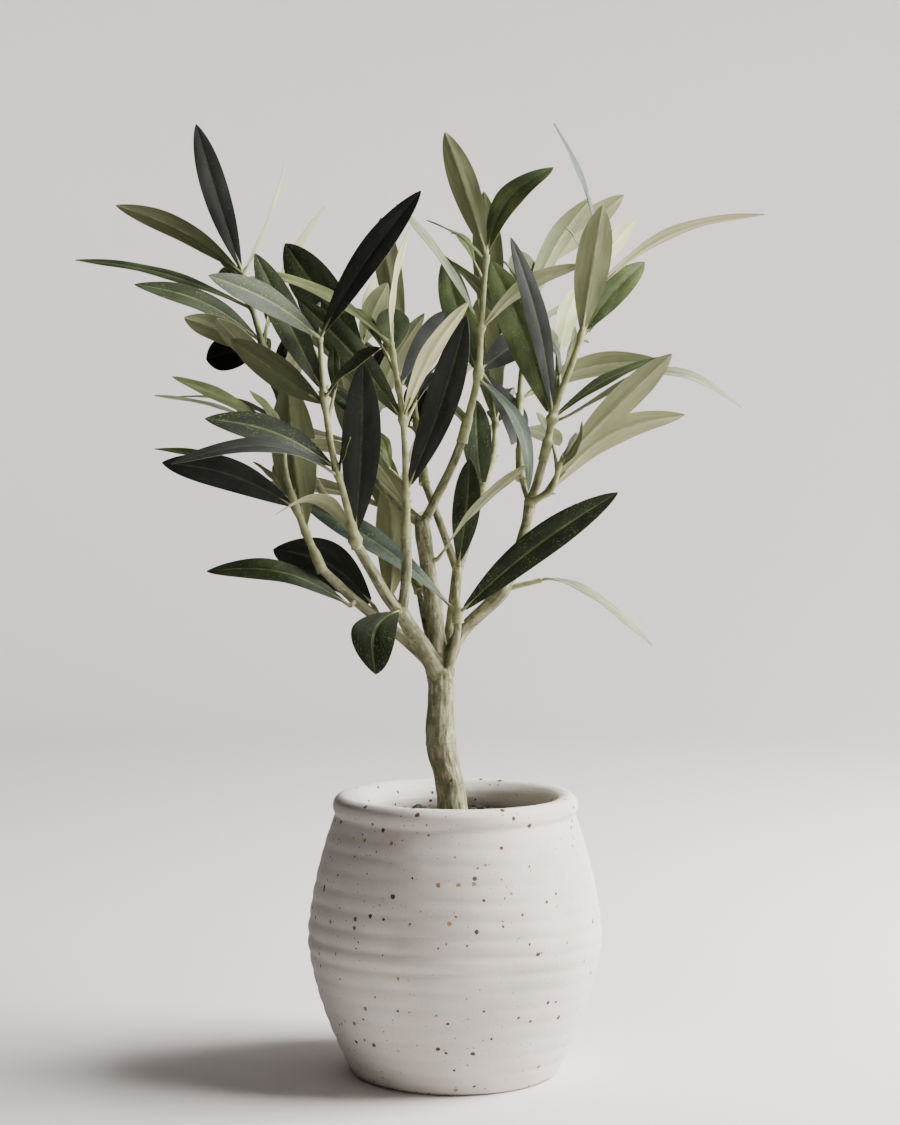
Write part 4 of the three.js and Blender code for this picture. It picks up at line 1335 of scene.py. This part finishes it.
def make_stage():
    """A pale floor that curves up into a wall all round."""
    start, bend = STAGE["floor"], STAGE["bend"]
    flat = [(start * s, 0) for s in (0.1, 0.4, 0.7, 1)]
    curve = [
        (start + bend * math.sin(math.radians(a)), bend * (1 - math.cos(math.radians(a))))
        for a in range(6, 91, 6)
    ]
    stage = ring_up(flat + curve + [(start + bend, STAGE["wall"])], STAGE["sides"])
    drop_faces(stage, lambda face: len(face.vertices) > 4 and face.center.z > MM)
    bpy.ops.mesh.select_all(action="SELECT")
    bpy.ops.mesh.flip_normals()
    bpy.ops.object.mode_set(mode="OBJECT")
    floor = Finish("pale_floor", Roughness=0.9, Specular_IOR_Level=0.1)
    floor.give("Base Color", paint("d9d5d3"))
    settle(stage, "floor", floor.material, angle=80)


def hang_flag():
    """A black studio flag at the left: it takes the bounced light off the shaded side."""
    out, top = FLAG["out"], FLAG["top"]
    # The middle ring keeps the sides when both ends are picked and dropped.
    flag = ring_up([(out, FLAG["foot"]), (out, top / 2), (out, top)], FLAG["sides"])

    def is_spare(face):
        bearing = math.degrees(math.atan2(face.center.y, face.center.x)) % 360
        return len(face.vertices) > 4 or not FLAG["start"] < bearing < FLAG["end"]

    drop_faces(flag, is_spare)
    bpy.ops.object.mode_set(mode="OBJECT")
    felt = Finish("black_felt", Roughness=0.95, Specular_IOR_Level=0.0)
    felt.give("Base Color", paint("0c0c0c"))
    settle(flag, "flag", felt.material, angle=80)
    flag.visible_camera = False
    flag.visible_shadow = False


def add_light(name, place, aim, size, power, colour=(1, 1, 1)):
    light = bpy.data.lights.new(name, "AREA")
    light.energy = power
    light.size = size
    light.color = colour
    lamp = bpy.data.objects.new(name, light)
    bpy.context.collection.objects.link(lamp)
    lamp.location = [c * MM for c in place]
    away = np.array(place, float) - np.array(aim, float)
    level = math.hypot(away[0], away[1])
    lamp.rotation_euler = (math.atan2(level, away[2]), 0, math.atan2(away[0], -away[1]))


def light_scene():
    for name, light in LIGHTS.items():
        add_light(name, **light)
    world = bpy.data.worlds.new("studio")
    bpy.context.scene.world = world
    world.use_nodes = True
    background = world.node_tree.nodes["Background"]
    background.inputs["Color"].default_value = SURROUND["colour"]
    background.inputs["Strength"].default_value = SURROUND["strength"]


def place_camera():
    camera = bpy.data.cameras.new("camera")
    camera.lens = CAMERA["lens"]
    camera.sensor_width = CAMERA["sensor"]
    viewer = bpy.data.objects.new("camera", camera)
    bpy.context.collection.objects.link(viewer)
    viewer.location = [c * MM for c in CAMERA["place"]]
    viewer.rotation_euler = (math.radians(CAMERA["tilt"]), 0, 0)
    bpy.context.scene.camera = viewer


# ---------------------------------------------------------------- assembly


def dress(piece, slot, *nodes):
    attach(piece, "root")
    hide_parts(*nodes)


place_camera()
light_scene()
make_stage()
hang_flag()
dress(make_pot(clay_finish()), "clay", "pot")
dress(make_soil(soil_finish()), "soil", "soil")
dress(make_bark(bark_finish()), "bark", *LIMBS)
crown = grow_crown()
shoots = grow_shoots(crown)
dress(make_leaves(crown.blades, leaf_finishes()), "foliage", *SPRIGS)
stem_green = stem_finish("stem_green", "7c8159", "999c75")
dress(make_stems(crown, shoots, stem_green), "foliage", *SPRIGS)

start_clean()
bpy.context.view_layer.update()
